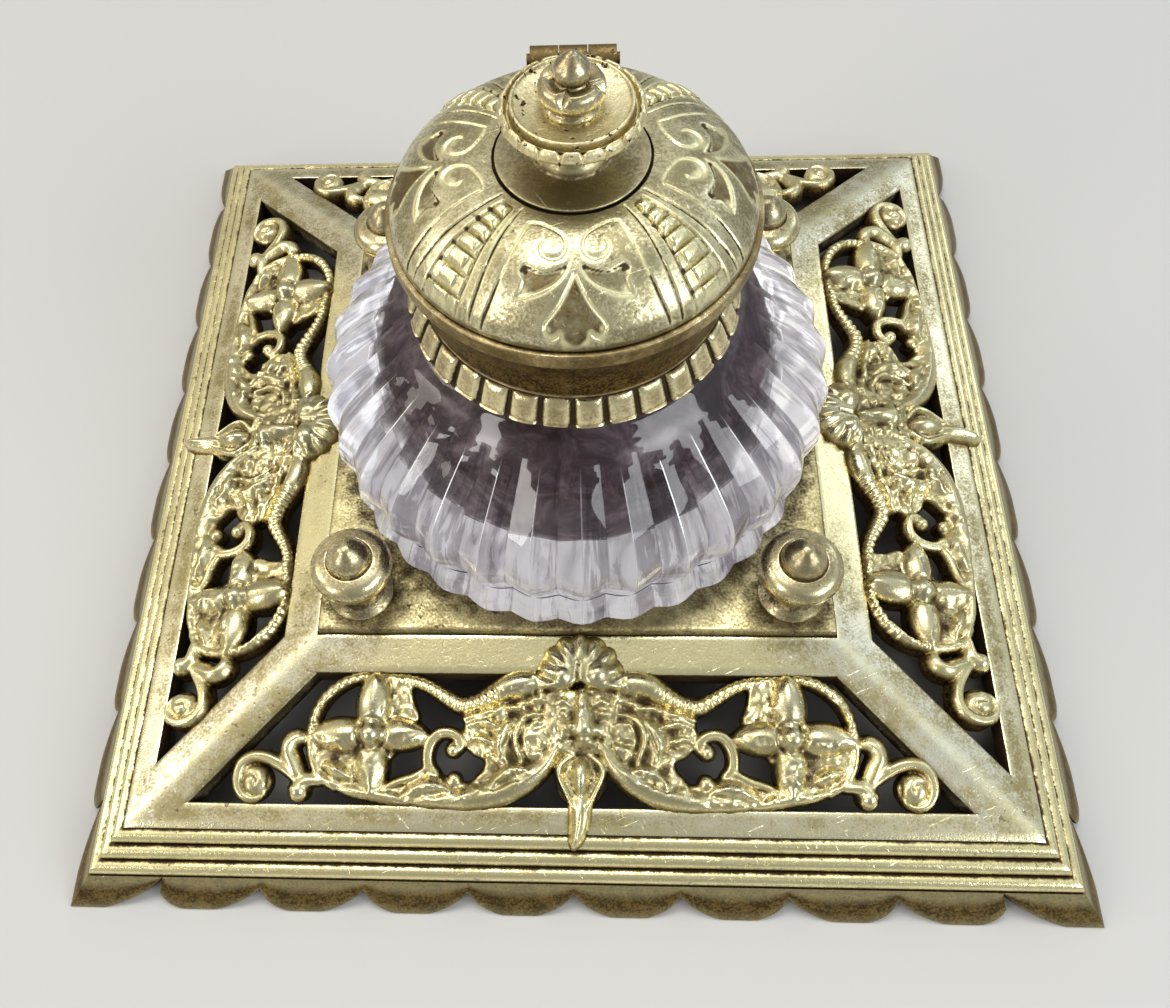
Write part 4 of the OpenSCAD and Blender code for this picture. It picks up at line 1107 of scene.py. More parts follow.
def scroll_panel(side, relief, material):
    """One openwork panel: the relief on top, a flat back and walls between."""
    u, v, inside, z, over = relief
    keep = (inside[:-1, :-1] + inside[1:, :-1] + inside[:-1, 1:] + inside[1:, 1:]) / 4 > 0
    move_u, move_v = on_outline(inside, keep, u[0, 1] - u[0, 0])
    u, v = u + move_u, v + move_v
    tilt = math.atan(SLOPE)
    points = []
    for height in (z - 0.05, np.full(z.shape, PANEL_BACK)):
        out = v + height * math.sin(tilt)
        points.append(np.stack([u, -out, slope_z(v) + height * math.cos(tilt)], -1).reshape(-1, 3))
    points = np.concatenate(points)
    for _ in range(SIDES.index(side)):
        points = quarter_turn(points)
    away = held((inside - 0.25) / 0.7)
    edges = held(1 - inside / 0.6) * 0.9
    browned = np.maximum(np.clip(over * 1.1, 0, 0.7) * away, edges)
    # hollow darkens the recesses with grime and painted shade, and paints shade on the walls and the back;
    # crest gives polish and a painted highlight on the raised parts
    fields = {"hollow": (np.clip(over * 1.1, 0, 0.6) * away, 0.9), "umber": (browned, 0.9),
              "crest": (np.clip(-over * 0.8, 0, 0.7), 0), "silver": (held(z / 1.4 - 0.6), 0)}
    fields = {key: np.append(top, np.full(z.size, back)) for key, (top, back) in fields.items()}
    points, faces, fields = without_spares(points, panel_faces(keep), fields)
    new_piece("scrollwork_" + side, points, [faces], "stand", material,
              ["scroll_panel_" + side], fields, sharp=75)


# ---- Tray, knobs ----------------------------------------------------------------------------

def tray_slab(material):
    """The square plate in the frame's seat: a rounded square section carried round four sides."""
    out = TRAY_HALF - 0.02
    profile = np.array([[0.01, TRAY_LOW], [out - 1, TRAY_LOW], [out - 0.2, TRAY_LOW], [out, TRAY_LOW + 0.2],
                        [out, TRAY_TOP - 0.45], [out - 0.06, TRAY_TOP - 0.2], [out - 0.2, TRAY_TOP - 0.06],
                        [out - 0.45, TRAY_TOP]]
                       + [[reach, TRAY_TOP] for reach in np.arange(out - 1, 20, -1)] + [[0.01, TRAY_TOP]])
    reach, z = profile[:, :1], profile[:, 1:]
    share = np.linspace(-1, 1, 81)
    side = np.stack([reach * share, -reach + 0 * share, z + 0 * share], -1)
    grid = four_sides(side)
    rows, cols = grid.shape[:2]
    rim = np.maximum(np.abs(grid[..., 0]), np.abs(grid[..., 1])) / out
    # brown stains along the edge, and painted contact shadow mixed with grime round each knob and round the
    # bottle's foot
    grime_and_contact_shadow = np.clip((rim - 0.985) * 20, 0, 0.3)
    for name in KNOBS:
        x, y = (size(name)[0][:2] + size(name)[1][:2]) / 2
        off = np.hypot(grid[..., 0] - x, grid[..., 1] - y)
        grime_and_contact_shadow = np.maximum(grime_and_contact_shadow, np.clip(0.98 - off / 9, 0, 0.4))
    foot = np.hypot(grid[..., 0], grid[..., 1]) - BELLY_R
    grime_and_contact_shadow = np.maximum(grime_and_contact_shadow, np.clip(0.36 - foot / 8, 0, 0.34))
    caps = [np.arange(cols)[::-1][None], (np.arange(cols) + (rows - 1) * cols)[None]]
    new_piece("tray", grid, [grid_quads(rows, cols)] + caps, "stand", material, ["tray_plate"],
              {"hollow": grime_and_contact_shadow, "umber": grime_and_contact_shadow * 0.8}, sharp=40)


def knob(name, material):
    """A turned knob: a spool under a plump disc with a pointed button, on its shank."""
    low, high = size(name)
    shank = [(0, low[2], 0), (1.45, low[2], 0.2)]
    outside = [(1.45, 0, 0), (4.9, 0, 0.2), (5.05, 0.6, 0.4), (4.5, 1.15, 0.3), (3.6, 2.2, 1.2),
               (3.15, 4.6, 1.8), (3.5, 6.6, 1.0), (4.7, 7.3, 0.7), (5.95, 8.3, 1.0), (5.95, 9.5, 1.1),
               (5.1, 10.75, 1.3), (3.45, 11.2, 0.7), (3.2, 10.95, 0.15), (3.15, 12.2, 0.7), (2.3, 13.6, 0.9)]
    point = above(high[2], [(0.75, -0.12, 0.5), (0, 0, 0)])
    profile = rounded(shank + above(TRAY_TOP, outside) + point, 7)
    turned("turned_" + name, refined(profile, 0.5), "stand", material, [name], columns=96,
           depth=0.25, sharp=50, centre=(low[:2] + high[:2]) / 2, reach=3)


# ---- Bottle ---------------------------------------------------------------------------------

BELLY_RINGS = ((-0.8, 0, 0.95), (-1.4, 1.5, 0.95), (-2.4, 3.6, 0.9), (-2.75, 4.15, 0.85), (-3.05, 4.5, 0.8),
               (-2.5, 4.75, 1.0), (-2.1, 6.2, 1.1), (-1.15, 8.2, 1.15), (-0.3, 10.8, 1.2), (0, 13.2, 1.2),
               (-0.4, 16, 1.25), (-1.9, 18.9, 1.25), (-5.1, 22.2, 1.2), (-8.7, 25, 1.0), (-10.5, 26.4, 0.6),
               (-11.9, 27.4, 0.25), (-13.1, 28.4, -0.1), (-14.2, 29.3, -0.3), (-15.2, 30.3, -0.3))
FOOT_RINGS = 5
INK_LOW, INK_TOP, INK_R = TRAY_TOP + 6.5, SHOULDER - 6, 26.0
PLUG_LOW = NECK_TOP - 3


def bottle(material, glowing_underside, ink_and_shade):
    """Clear bottle: 32 V cuts round a squat body, a bevelled foot, a plain neck and a space for ink.

    Radius of the outside = ring radius - max(0, depth - slope x), where x is the distance round
    from the ridge between two cuts, and the depth runs out towards the shoulder. A ring is its
    radius beyond the belly's, its height over the foot and its depth of cut.
    """
    foot = TRAY_TOP + 0.05
    rings = np.append(np.array([BELLY_R, foot, 0]) + BELLY_RINGS, [[COLLAR_R - 0.4, SHOULDER, -0.4]], 0)
    rings = np.concatenate([rings[:FOOT_RINGS], curve(rings[FOOT_RINGS:], 5)])
    pitch = 2 * math.pi / FLUTES
    ridge = 0.07 / BELLY_R
    steps = np.array([ridge, *(pitch * share for share in (0.18, 0.34, 0.5, 0.66, 0.82)), pitch - ridge])
    off = np.tile(np.minimum(steps, pitch - steps), FLUTES)
    a = (np.arange(FLUTES)[:, None] * pitch + steps).reshape(-1) + math.radians(FLUTE_TURN - 90)
    slope = 1.2 / (BELLY_R * pitch / 2)

    cuts = [np.maximum(0, depth * min(1, r / BELLY_R * 1.15) - slope * (pitch / 2 - off) * r)
            for r, z, depth in rings]
    under = [round_axis(r, foot, a) for r in (0.5, 12, 24, 34)]
    wall = [round_axis(r - cut, z, a) for (r, z, depth), cut in zip(rings, cuts)]
    neck = rounded([(NECK_R, SHOULDER, 0), (NECK_R, NECK_TOP, 0.5), (BORE_R, NECK_TOP, 0.5),
                    (BORE_R, PLUG_LOW, 0)], 6)
    space = rounded([(BORE_R, PLUG_LOW, 0), (BORE_R, INK_TOP + 3, 1.2), (INK_R - 4.2, INK_TOP - 1.2, 1.5),
                     (INK_R, INK_TOP - 5.4, 1.5), (INK_R, INK_LOW, 3), (0.5, INK_LOW, 0)], 6)[1:]
    grid = np.array(under + wall + [round_axis(r, z, a) for r, z in (*neck, *space)])
    count, columns = grid.shape[:2]
    quads = grid_quads(count, columns)
    row = np.indices(quads.shape[:2])[0]
    first = len(under)
    # the ink colour lines the space for ink, and is painted shade in the groove above the foot
    ink_and_groove_shade_rows = (row == first + 3) | (row == first + 4) | (row >= count - len(space))
    kind = np.where(ink_and_groove_shade_rows, 2, row < first)
    faces = [quads[kind == 0], quads[kind == 1], quads[kind == 2], *end_fans(count, columns)]
    cut, ridges = np.zeros((2, count, columns))
    cut[first:first + len(cuts)] = held(np.array(cuts) * 5)
    ridges[first:first + len(cuts)] = held(rings[:, 2:] * 1.5 - 0.4)
    points = np.concatenate([grid.reshape(-1, 3), np.array([[0, 0, foot], [0, 0, INK_LOW]])])
    new_piece("cut_glass_bottle", points, faces, "bottle", material, ["ink_bottle"],
              {"cut": np.append(cut, [0, 0]), "ridge": np.append(ridges, [0, 0])}, sharp=7,
              others=[(glowing_underside, (1, 3)), (ink_and_shade, (2, 4))])


# ---- Collar ---------------------------------------------------------------------------------

BILLETS = 32
CEMENT_R = 18.02


def collar(material):
    """The neck's collar: a ring of 32 billets, a flared throat and a plain lip.

    A closed section goes round the axis. Each billet bulges by 0.85 sqrt((1 - |x|^4)(1 - |y|^6)) over its
    cell, x across and y up, and the gaps stay low.
    """
    outside = [(CEMENT_R, 0, 0), (COLLAR_R - 0.5, 0, 0), (COLLAR_R, 0.1, 0.1), (COLLAR_R, 0.45, 0.15),
               (COLLAR_R - 0.55, 0.6, 0.1), (THROAT_R + 0.05, 3.85, 0.1), (THROAT_R + 0.15, 4.2, 0.1),
               (THROAT_R, 4.5, 0.1), (THROAT_R + 0.05, 8, 2), (THROAT_R + 0.9, 11.6, 2),
               (THROAT_R + 2.3, 14.1, 0.8), (LIP_R - 0.5, 14.5, 0.15)]
    lip = [(LIP_R, -2.2, 0.15), (LIP_R, 0, 0.3), (LIP_R - 1.8, 0, 0.2), (LIP_R - 1.8, -2.1, 0)]
    inside = [(CEMENT_R, NECK_TOP, 0), (CEMENT_R, SHOULDER, 0)]
    section = rounded(above(SHOULDER, outside) + above(LIP_TOP, lip) + inside, 5)[:-1]
    section = refined(section, 0.35)
    a = np.linspace(0, 2 * math.pi, BILLETS * 18, endpoint=False)
    cell = a * BILLETS / (2 * math.pi)
    r, z = section[:, :1], section[:, 1:] - SHOULDER
    x, y = (cell % 1 - 0.5) / 0.44, (z - 2.2) / 1.85
    outer = r > 19.5
    jitter = 0.9 + 0.2 * np.sin(np.floor(cell) * 2.4)
    pad = held(1 - np.abs(x) ** 4) * held(1 - np.abs(y) ** 6)
    bulge = 0.85 * np.sqrt(pad) * outer * jitter
    grid = round_axis(r + bulge, section[:, 1:] + 0.25 * bulge, a)
    fields = wear_and_shading(grid, 0.3, 2, 3, wrap_rows=True)
    # the gaps between the billets get grime and painted shade
    gap = (np.abs(y) < 1.1) & outer & (bulge < 0.3)
    fields["hollow"] = np.maximum(fields["hollow"], gap * 0.95)
    flare = held((z - 4.0) / 0.8) * held((14.6 - z) / 0.8)
    on_lip = held((z - 14.2) / 0.4) * 0.5
    fields["umber"] = (flare + on_lip) * outer + 0 * a
    fields["crest"] *= 1 - on_lip
    new_piece("flared_collar", grid, [grid_quads(*grid.shape[:2], wrap_rows=True)], "bottle",
              material, ["neck_collar"], fields, sharp=50)


# ---- Lid ------------------------------------------------------------------------------------

SECTOR = 90.0
SECTOR_TURN = 1.0
ENGRAVED_IN, ENGRAVED_OUT = 9.4, 23.6
PALM, PALM_HALF = 14, 13.0
STRIP, STRIP_HALF = 7, 6.5
BED_SINK = 0.38
DOME = np.array([[0, 0], [0.06, 0.26], [0.2, 0.52], [0.36, 0.74], [0.56, 0.9], [0.78, 0.98], [1, 1]])
GUIDE_R = LIP_R - 1.8 - 0.35


class Engraving:
    """A flat patch of metal, x across and y out in mm, into which lines are cut and beads are raised."""

    def __init__(self, half, low, high, step=0.08):
        self.step, self.left, self.low = step, -half, low
        x, y = np.arange(-half, half + step, step), np.arange(low, high + step, step)
        self.relief = Relief(x, y)
        self.relief.height[:] = 0
        self.bright, self.dirt_and_shade, self.brown = (np.zeros(self.relief.u.shape) for _ in range(3))

    def line(self, points, widths, depth=0.2, dirt_and_shade=0.0):
        """A V cut with bright polish in it, or soiling and painted shade: height = -depth (1.15 - share
        across).
        """
        path = strand(points, 6, widths)
        part = self.relief.near(path[:, :2], path[:, 2].max() + 0.3)
        _, across, _, _ = self.relief.follow(path[:, :2], np.maximum(path[:, 2], 0.04), part)
        self.relief.height[part] = np.minimum(self.relief.height[part], -depth * held(1.15 - across))
        self.bright[part] = np.maximum(self.bright[part], held(2.0 - across))
        self.dirt_and_shade[part] = np.maximum(self.dirt_and_shade[part], dirt_and_shade * held(1.1 - across))

    def sink(self, corners, depth, brown):
        """A sunken leaf with a rounded floor, brown inside, and bright edges."""
        flat = Relief(self.relief.u[0], self.relief.v[:, 0])
        flat.plate(corners, 1.0)
        floor = held(flat.inside / 0.35)
        self.relief.height -= depth * floor
        self.brown = np.maximum(self.brown, brown * floor)
        self.bright = np.maximum(self.bright, np.exp(-(flat.inside / 0.16) ** 2))

    def spot(self, layer, point, radius):
        """A soft round patch of polish, or of soiling and painted shade: 1.3 - distance / radius, between 0
        and 1.
        """
        x, y = point
        near = held(1.3 - np.hypot(self.relief.u - x, self.relief.v - y) / radius)
        np.maximum(layer, near, out=layer)

    def bead(self, low, high, bed, height=0.5):
        """A raised pad in the bed, between two radii: height sqrt((1 - |x|^3)(1 - |y|^3))."""
        y = self.relief.v
        across = np.abs(self.relief.u) / (bed - 0.28)
        along = np.abs(y - (low + high) / 2) / ((high - low) / 2 - 0.12)
        pad = np.sqrt(held(1 - across ** 3) * held(1 - along ** 3))
        self.relief.height = np.where(pad > 0, (height + BED_SINK) * pad - BED_SINK, self.relief.height)
        self.bright = np.where(pad > 0, 0.5, self.bright)
        self.dirt_and_shade = np.where(pad > 0, 0, self.dirt_and_shade)

    def at(self, values, x, y):
        """Values of the patch at places x, y, mixed between the four cells around."""
        rows, cols = values.shape
        p = np.clip((x - self.left) / self.step, 0, cols - 1.001)
        q = np.clip((y - self.low) / self.step, 0, rows - 1.001)
        i, j = q.astype(int), p.astype(int)
        s, t = p - j, q - i
        upper = values[i, j] * (1 - s) + values[i, j + 1] * s
        lower = values[i + 1, j] * (1 - s) + values[i + 1, j + 1] * s
        return upper * (1 - t) + lower * t


def degrees(points):
    """Places given as (angle, radius) turned into (x, y) of a patch: x = angle radius."""
    return [(math.radians(angle) * r, r) for angle, r in points]


def palmette():
    """The leaf of one sector: two scrolled shoulders, two sunken leaves and a three-lobed palm."""
    patch = Engraving(PALM, ENGRAVED_IN, ENGRAVED_OUT)
    palm = [(0.2, 17.2), (2.6, 18.8), (5.4, 20.3), (8.7, 21.6), (9.4, 22.2), (8.0, 22.8), (5.6, 22.7),
            (4.2, 22.45), (3.4, 23.0), (0, 23.45)]
    patch.sink(degrees(palm + [(-x, y) for x, y in palm[-2:0:-1]]), 0.15, 0.54)
    for half in (1, -1):
        def at(points):
            return [(half * x, y) for x, y in degrees(points)]
        patch.line(at([(26.0, 11.8), (20, 11.5), (12, 11.9), (6.5, 12.6), (4.2, 13.6), (4.4, 14.7),
                       (7.2, 15.5), (11.0, 15.6), (14.2, 15.2), (16.0, 14.3), (15.0, 13.8)]),
                   [0.14, 0.15, 0.15, 0.17, 0.2, 0.3, 0.42, 0.42, 0.3, 0.18, 0.1])
        patch.spot(patch.bright, at([(12.0, 15.0)])[0], 0.55)
        patch.line(at([(26.0, 11.8), (26.3, 14), (26.7, 17), (27.2, 19.5)]), 0.13)
        patch.line(at([(27.1, 19.0), (27.8, 21.5), (28.8, 23.4)]), [0.13, 0.2, 0.22], 0.3, dirt_and_shade=0.9)
        patch.sink(at([(1.8, 15.9), (4.5, 16.2), (8.5, 16.9), (12.5, 17.2), (16.5, 17), (19.5, 16.8),
                       (21, 17.3), (20.6, 17.9), (19.3, 18.4), (19.5, 19.2), (19.8, 20.1), (15, 19.7),
                       (9.5, 18.9), (5.5, 18), (3.2, 17)]), 0.28, 0.4)
        patch.line(at([(2.2, 15.9), (3.4, 17.1), (5.7, 18.1), (9.7, 19.1), (15, 19.9), (20, 20.2)]),
                   0.13, 0.1)
        patch.spot(patch.bright, at([(18.0, 19.4)])[0], 0.7)
        # a painted shadow along the upper edge of each sunken leaf, with darker spots at its two tips
        patch.line(at([(3.6, 16.4), (8.5, 17.0), (12.5, 17.3), (16.5, 17.1), (19.5, 17.0), (20.5, 17.5)]),
                   [0.2, 0.12, 0.08, 0.1, 0.24, 0.24], 0.2, dirt_and_shade=0.9)
        patch.spot(patch.dirt_and_shade, at([(3.8, 16.5)])[0], 0.3)
        patch.spot(patch.dirt_and_shade, at([(19.1, 17.35)])[0], 0.38)
        patch.line(at(palm), [0.12, 0.14, 0.15, 0.16, 0.17, 0.17, 0.15, 0.14, 0.15, 0.15], 0.28)
        patch.spot(patch.bright, at([(8.0, 22.2)])[0], 0.3)
    return patch


def bead_strip():
    """The strip between two sectors: a sunken bed with a row of beads growing outwards, and on each
    side a raised edge and a dark cut line."""
    patch = Engraving(STRIP, ENGRAVED_IN, ENGRAVED_OUT)
    u, v = patch.relief.u, patch.relief.v
    bed = np.interp(v, [10.4, 14, 17, 20.5, 23.4], [0.9, 1.4, 1.95, 2.7, 3.1])
    edges = [10.8, 12.7, 14.5, 16.2, 18.1, 20.1, 22.0, 23.35]
    sunk = held((bed - np.abs(u)) / 0.16) * (v > edges[0])
    patch.relief.height -= BED_SINK * sunk
    patch.bright = held(1.2 - np.abs(np.abs(u) - bed) / 0.2) * (v > edges[0])
    patch.bright = np.maximum(patch.bright, 0.25 * sunk)
    patch.dirt_and_shade = 0.3 * sunk
    for low, high in zip(edges[:-1], edges[1:]):
        patch.bead(low, high, bed)
        patch.spot(patch.dirt_and_shade, (-np.interp(high, [10.4, 17, 23.4], [0.75, 1.7, 2.8]), high), 0.36)
    for half in (1, -1):
        path = degrees([(half * 9.6, 10.4), (half * 10.0, 14), (half * 11.2, 18), (half * 12.2, 23.4)])
        patch.line(path, [0.13, 0.15, 0.2, 0.24], 0.3, dirt_and_shade=0.75)
    return patch


def dome_height(r):
    """Height of the dome's outside at a radius, a smooth curve through its section's corners."""
    low = LID_LOW + 0.5
    corners = np.stack([LID_R - (LID_R - SEAT_R) * DOME[:, 0], low + (SEAT_Z - low) * DOME[:, 1]], -1)
    section = curve(corners, 12)
    return np.interp(r, section[::-1, 0], section[::-1, 1])


def lid_section():
    """The lid's section: its underside with the guide ring, the dome in even steps, and its top."""
    line = np.linspace(LID_R - 0.2, SEAT_R + 0.15, 400)
    along = np.append(0, np.cumsum(np.hypot(np.diff(line), np.diff(dome_height(line)))))
    even = np.interp(np.linspace(0, along[-1], 92), along, line)
    r = np.concatenate([[LID_R - 0.02, LID_R - 0.08], even, [SEAT_R + 0.03]])
    under = above(SEAT_Z, [(0.5, -1.2, 0), (9, -1.2, 0), (15, -1.55, 2)])
    under += above(LID_LOW, [(19.2, 4.0, 2), (GUIDE_R - 1.2, 1.0, 0), (GUIDE_R - 1.2, -1.8, 0),
                             (GUIDE_R, -1.8, 0.2), (GUIDE_R, 0, 0), (LID_R - 0.1, 0, 0.1), (LID_R, 0.1, 0)])
    top = [[SEAT_R - 0.1, SEAT_Z - 0.45], [SEAT_R - 0.4, SEAT_Z - 0.5], [0.5, SEAT_Z - 0.5]]
    return rounded(under, 4), np.stack([r, dome_height(r)], -1), np.array(top)


def lid(material):
    """The domed lid: the dome's section goes round the axis, and the engraving of four sectors and
    four strips is added along z."""
    columns = 820
    under, outside, top = lid_section()
    section = np.concatenate([under, outside, top])
    count = len(section)
    a = np.linspace(-math.pi, math.pi, columns, endpoint=False)
    r, z = section[:, :1], section[:, 1:]
    rows = np.arange(count)[:, None]
    on_dome = (rows >= len(under)) & (rows < len(under) + len(outside))
    depth, bright, dirt_and_shade, brown = np.zeros((4, count, columns))
    degree = np.degrees(a)[None, :] - SECTOR_TURN
    for patch, turn, half in ((palmette(), 0.0, PALM_HALF), (bead_strip(), SECTOR / 2, STRIP_HALF)):
        local = (degree - turn + SECTOR / 2) % SECTOR - SECTOR / 2
        x, y = np.radians(local) * r, r + 0 * a
        use = (np.abs(x) < half) & (np.abs(local) < 33)
        h = patch.at(patch.relief.height, x, y)
        depth = np.where(use & (np.abs(h) > np.abs(depth)), h, depth)
        bright = np.maximum(bright, patch.at(patch.bright, x, y) * use)
        dirt_and_shade = np.maximum(dirt_and_shade, patch.at(patch.dirt_and_shade, x, y) * use)
        brown = np.maximum(brown, patch.at(patch.brown, x, y) * use)
    near_edge = on_dome * held((LID_R - r) / 0.3) * held((r - SEAT_R) / 0.3)
    depth, bright, dirt_and_shade, brown = (layer * near_edge for layer in (depth, bright, dirt_and_shade, brown))
    grid = np.stack([r * np.sin(a), -r * np.cos(a), z + 0 * a], -1)
    grid[..., 2] += depth + on_dome * 0.03 * ripple(grid, 9, 6)
    rim = held(1 - (r - SEAT_R) / 0.12) * (rows >= len(under))
    low_edge = held((z - LID_LOW - 0.05) / 0.2) * held((LID_LOW + 1.1 - z) / 0.5)
    fields = {"hollow": np.append(np.maximum(dirt_and_shade, rim), [0, 1]),
              "cut": np.append(bright * (1 - dirt_and_shade), [0, 0]),
              "crest": np.append(held((depth - blurred(depth, 3)) * 5), [0, 0]),
              "umber": np.append(np.maximum(brown, 0.5 * low_edge * on_dome), [0, 0])}
    points = np.concatenate([grid.reshape(-1, 3), [[0, 0, z[0, 0]], [0, 0, z[-1, 0]]]])
    new_piece("engraved_lid", points, [grid_quads(count, columns), *end_fans(count, columns)], "lid",
              material, ["lid"], fields, sharp=60)


# ---- Finial ---------------------------------------------------------------------------------

def seat(material):
    """The finial's seat: a low cone and a waisted neck, turned."""
    r = SEAT_R - 0.28
    cone = [(0, 0, 0), (r, 0, 0.1), (r, 0.35, 0.15), (5.6, 0.62, 1), (4.75, 0.75, 0.3), (4.7, 1.5, 0.4),
            (3.45, 3.2, 1)]
    neck = [(3.5, -0.3, 0.4), (3.5, 0, 0), (0, 0, 0)]
    profile = rounded(above(SEAT_Z, cone) + above(DISH_Z, neck), 5)
    turned("cone_seat", refined(profile, 0.45), "lid", material, ["finial_seat"], columns=128,
           depth=0.2, sharp=40)


NICKS = 20


def nicked(grid, a):
    """V nicks cut into the dish's band from its inner edge: 0.5 mm deep, 1.1 mm wide there and
    narrowing to a point 1.4 mm further out."""
    r = np.hypot(grid[..., 0], grid[..., 1])
    z = grid[..., 2] - DISH_Z
    x = np.abs((a * NICKS / (2 * math.pi)) % 1 - 0.5) * 2 * math.pi / NICKS * r
    width = 0.55 * np.clip((9.3 - r) / 1.4, 0.02, 1)
    on = (r > 7.8) & (r < 9.3) & (z > 1.6)
    return grid - np.array([0, 0, 1]) * (0.5 * held(1 - x / width) * on)[..., None]


def dish(material):
    """The finial's dish: a rounded band with nicks outside, a bright inner rim and a pitted floor."""
    section = [(0, 0, 0), (3.8, 0, 0.2), (6.2, 0.3, 0.8), (DISH_R - 0.9, 0.6, 0.7), (DISH_R - 0.02, 1.5, 0.8),
               (DISH_R - 0.45, 2.5, 0.7), (7.95, 2.75, 0.3), (7.75, 2.4, 0.1), (7.65, 1.5, 0.1),
               (7.35, 1.5, 0.1), (7.22, 3.1, 0.15), (6.95, 3.2, 0.15), (6.75, 2.85, 0.15), (5.2, 2.45, 0.5),
               (3.4, 2.2, 0), (0, 2.2, 0)]
    profile = rounded(above(DISH_Z, section), 6)
    turned("nicked_dish", refined(profile, 0.2), "lid", material, ["finial_dish"],
           columns=NICKS * 18, depth=0.12, sharp=55, shape=nicked)


CUP_Z = TIP_Z - 7.6


def calyx(grid, a):
    """Four V notches in the cup round the bud: the rim is pushed in by 1.1 mm at each, less further
    down and sideways, to nothing 0.6 mm to either side."""
    z = grid[..., 2] - CUP_Z
    turn = math.radians(72 - 90)
    away = np.abs((a - turn + math.pi / 4) % (math.pi / 2) - math.pi / 4)
    r = np.hypot(grid[..., 0], grid[..., 1])
    rise = held((z - 2.7) / 1.2) * (z < 4.3) * (r > 2.3)
    push = 1.15 * rise * held(1 - away * r / (0.12 + 0.75 * rise))
    factor = 1 - push / np.maximum(r, 0.5)
    return np.stack([grid[..., 0] * factor, grid[..., 1] * factor, grid[..., 2]], -1)


def bud(material):
    """The bud on top: a stem, a cup with four notches and a pointed ball, turned on its stud."""
    low = size("finial_bud")[0][2]
    outside = [(1.5, 0, 0), (3.3, 0, 0.1), (3.45, 0.5, 0.3), (3.0, 0.95, 0.3), (2.95, 1.2, 0.2),
               (3.6, 1.7, 0.5), (4.05, 2.6, 0.8), (3.75, 3.6, 0.6), (3.2, 4.0, 0.15), (2.7, 3.95, 0.15),
               (1.95, 3.7, 0.15), (1.75, 4.0, 0.1), (2.2, 4.8, 0.5), (2.15, 5.6, 0.7), (1.35, 6.6, 0.7)]
    tip = [(0.45, TIP_Z - 0.22, 0.4), (0, TIP_Z, 0)]
    profile = rounded([(0, low, 0), (1.5, low, 0.2)] + above(CUP_Z, outside) + tip, 6)
    turned("pointed_bud", refined(profile, 0.22), "lid", material, ["finial_bud"], columns=200,
           depth=0.2, sharp=50, reach=3, shape=calyx)


# ---- Stage ----------------------------------------------------------------------------------

def area_light(name, place, target, extent, power, colour):
    """A rectangular lamp at a place, aimed at a target."""
    data = bpy.data.lights.new(name, "AREA")
    data.shape, data.size, data.size_y = "RECTANGLE", *extent
    data.energy, data.color = power, colour
    light = bpy.data.objects.new(name, data)
    light.location = place
    light.rotation_euler = (Vector(target) - Vector(place)).to_track_quat("-Z", "Y").to_euler()
    bpy.context.scene.collection.objects.link(light)


def stage():
    """A pale floor, a pale room and soft lamps."""
    floor_half = 1.5
    mesh = bpy.data.meshes.new("floor")
    mesh.from_pydata([(-floor_half, -floor_half, 0), (floor_half, -floor_half, 0),
                      (floor_half, floor_half, 0), (-floor_half, floor_half, 0)], [], [(0, 1, 2, 3)])
    mesh.materials.append(pale_floor())
    floor = bpy.data.objects.new("floor", mesh)
    bpy.context.scene.collection.objects.link(floor)
    room()
    area_light("overhead", (-0.05, 0.17, 0.70), (0, 0, 0.03), (0.42, 0.26), 1.5, (1, 0.99, 0.96))
    area_light("window_right", (0.60, 0.45, 0.40), (0, 0, 0.05), (0.30, 0.30), 0.3, (0.88, 0.94, 1))
    area_light("lamp_left", (-0.60, 0.00, 0.45), (0, 0, 0.05), (0.25, 0.40), 0.8, (1, 0.96, 0.88))
    area_light("strip_left", (-0.50, -0.45, 0.38), (0, 0, 0.04), (0.12, 0.40), 0.85, (1, 0.98, 0.95))
    area_light("front", (0.56, -0.40, 0.42), (0, 0, 0.03), (0.45, 0.34), 2.0, (0.95, 0.98, 1))


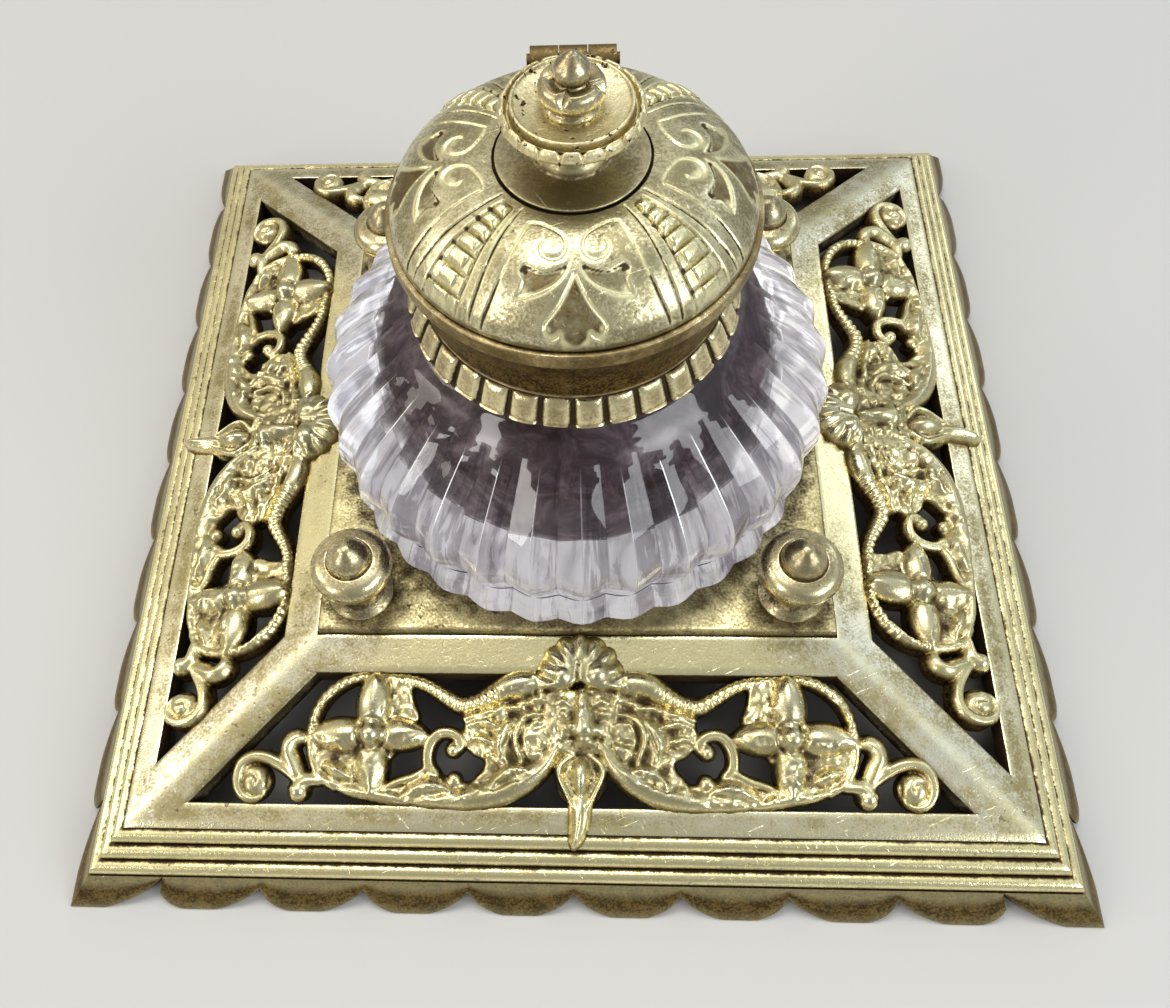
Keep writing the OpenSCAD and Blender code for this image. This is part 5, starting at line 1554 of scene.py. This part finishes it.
def room():
    """A pale room: bright above and at the back, cool to the right, warm to the left, dim over
    the front, where nothing lights it, and a little over the back.

    Brightness = 0.35 + 0.45 rise of the direction's z, less a share in soft spots about two
    directions.
    """
    world = bpy.data.worlds.new("room")
    bpy.context.scene.world = world
    f = Finish(world)
    way = f.node("TexCoord", out="Generated")
    x = f.node("SeparateXYZ", {0: way}, out="X")
    z = f.node("SeparateXYZ", {0: way}, out="Z")
    front = f.node("VectorMath", {0: way, 1: (0.05, -0.62, 0.78)}, out="Value", operation="DOT_PRODUCT")
    level = 0.35 + z.between(-0.1, 0.9) * 0.45
    back = f.node("VectorMath", {0: way, 1: (0.0, 0.60, 0.80)}, out="Value", operation="DOT_PRODUCT")
    level = level * (1 - front.between(0.72, 0.93) * 0.5) * (1 - back.between(0.85, 0.97) * 0.28)
    colour = f.mix(rgb(1.0, 0.95, 0.85), rgb(0.90, 0.96, 1.0), x.between(-0.7, 0.7))
    light = f.node("Background", {"Color": colour, "Strength": level})
    f.node("OutputWorld", {"Surface": light}, out=None)


def camera():
    """The camera stands close over the front, looking down into the stand."""
    place = Vector((0.8677, -100.564, 170.830)) * MM
    right = Vector((0.99837652, 0.02702802, -0.05013796))
    up = Vector((0.00033616, 0.87743506, 0.47969532))
    back = Vector((0.05695802, -0.4789334, 0.87600147))
    data = bpy.data.cameras.new("camera")
    data.sensor_width, data.lens = 36, 33.858
    data.shift_x, data.shift_y = 0.05821, 0.00311
    data.clip_start = 0.01
    thing = bpy.data.objects.new("camera", data)
    thing.matrix_world = Matrix((right, up, back)).transposed().to_4x4()
    thing.location = place
    bpy.context.scene.collection.objects.link(thing)
    bpy.context.scene.camera = thing


def dress_frame_nodes(finishes):
    """Gives the frame's own nodes the finishes of their slots, and the hinge the dark one, as painted shade
    that keeps it dim.
    """
    for node, thing in frame["nodes"].items():
        slot = next(p["material_slot"] for p in frame["record"]["subparts"] if p["node"] == node)
        # the hinge takes the dark brass as painted shade, so it stays dim
        slot = "dark_brass" if node.startswith("hinge") else slot
        for i in range(len(thing.material_slots)):
            thing.material_slots[i].material = finishes[slot]


def build():
    metal = {name: brass(name, **look) for name, look in BRASSES.items()}
    glass = cut_glass()
    dress_frame_nodes({"aged_brass": metal["knob_brass"], "yellow_brass": metal["scroll_brass"],
                       "tray_brass": metal["tray_brass"], "dark_brass": metal["dark_brass"],
                       "cut_glass": glass, "plaster": bedding_plaster()})
    base_frame(metal["flat_bar_brass"])
    relief = scroll_field(RELIEF_STEP)
    for side in SIDES:
        scroll_panel(side, relief, metal["scroll_brass"])
    tray_slab(metal["tray_brass"])
    for name in KNOBS:
        knob(name, metal["knob_brass"])
    bottle(glass, ground_glass_painted_glow(), ink_film_and_groove_shade())
    collar(metal["collar_brass"])
    lid(metal["lid_brass"])
    seat(metal["seat_brass"])
    dish(metal["dish_brass"])
    bud(metal["knob_brass"])


build()
stage()
camera()
view = bpy.context.scene.view_settings
view.view_transform, view.look = "Standard", "Medium High Contrast"
cycles = bpy.context.scene.cycles
cycles.max_bounces, cycles.glossy_bounces, cycles.transmission_bounces = 20, 14, 16
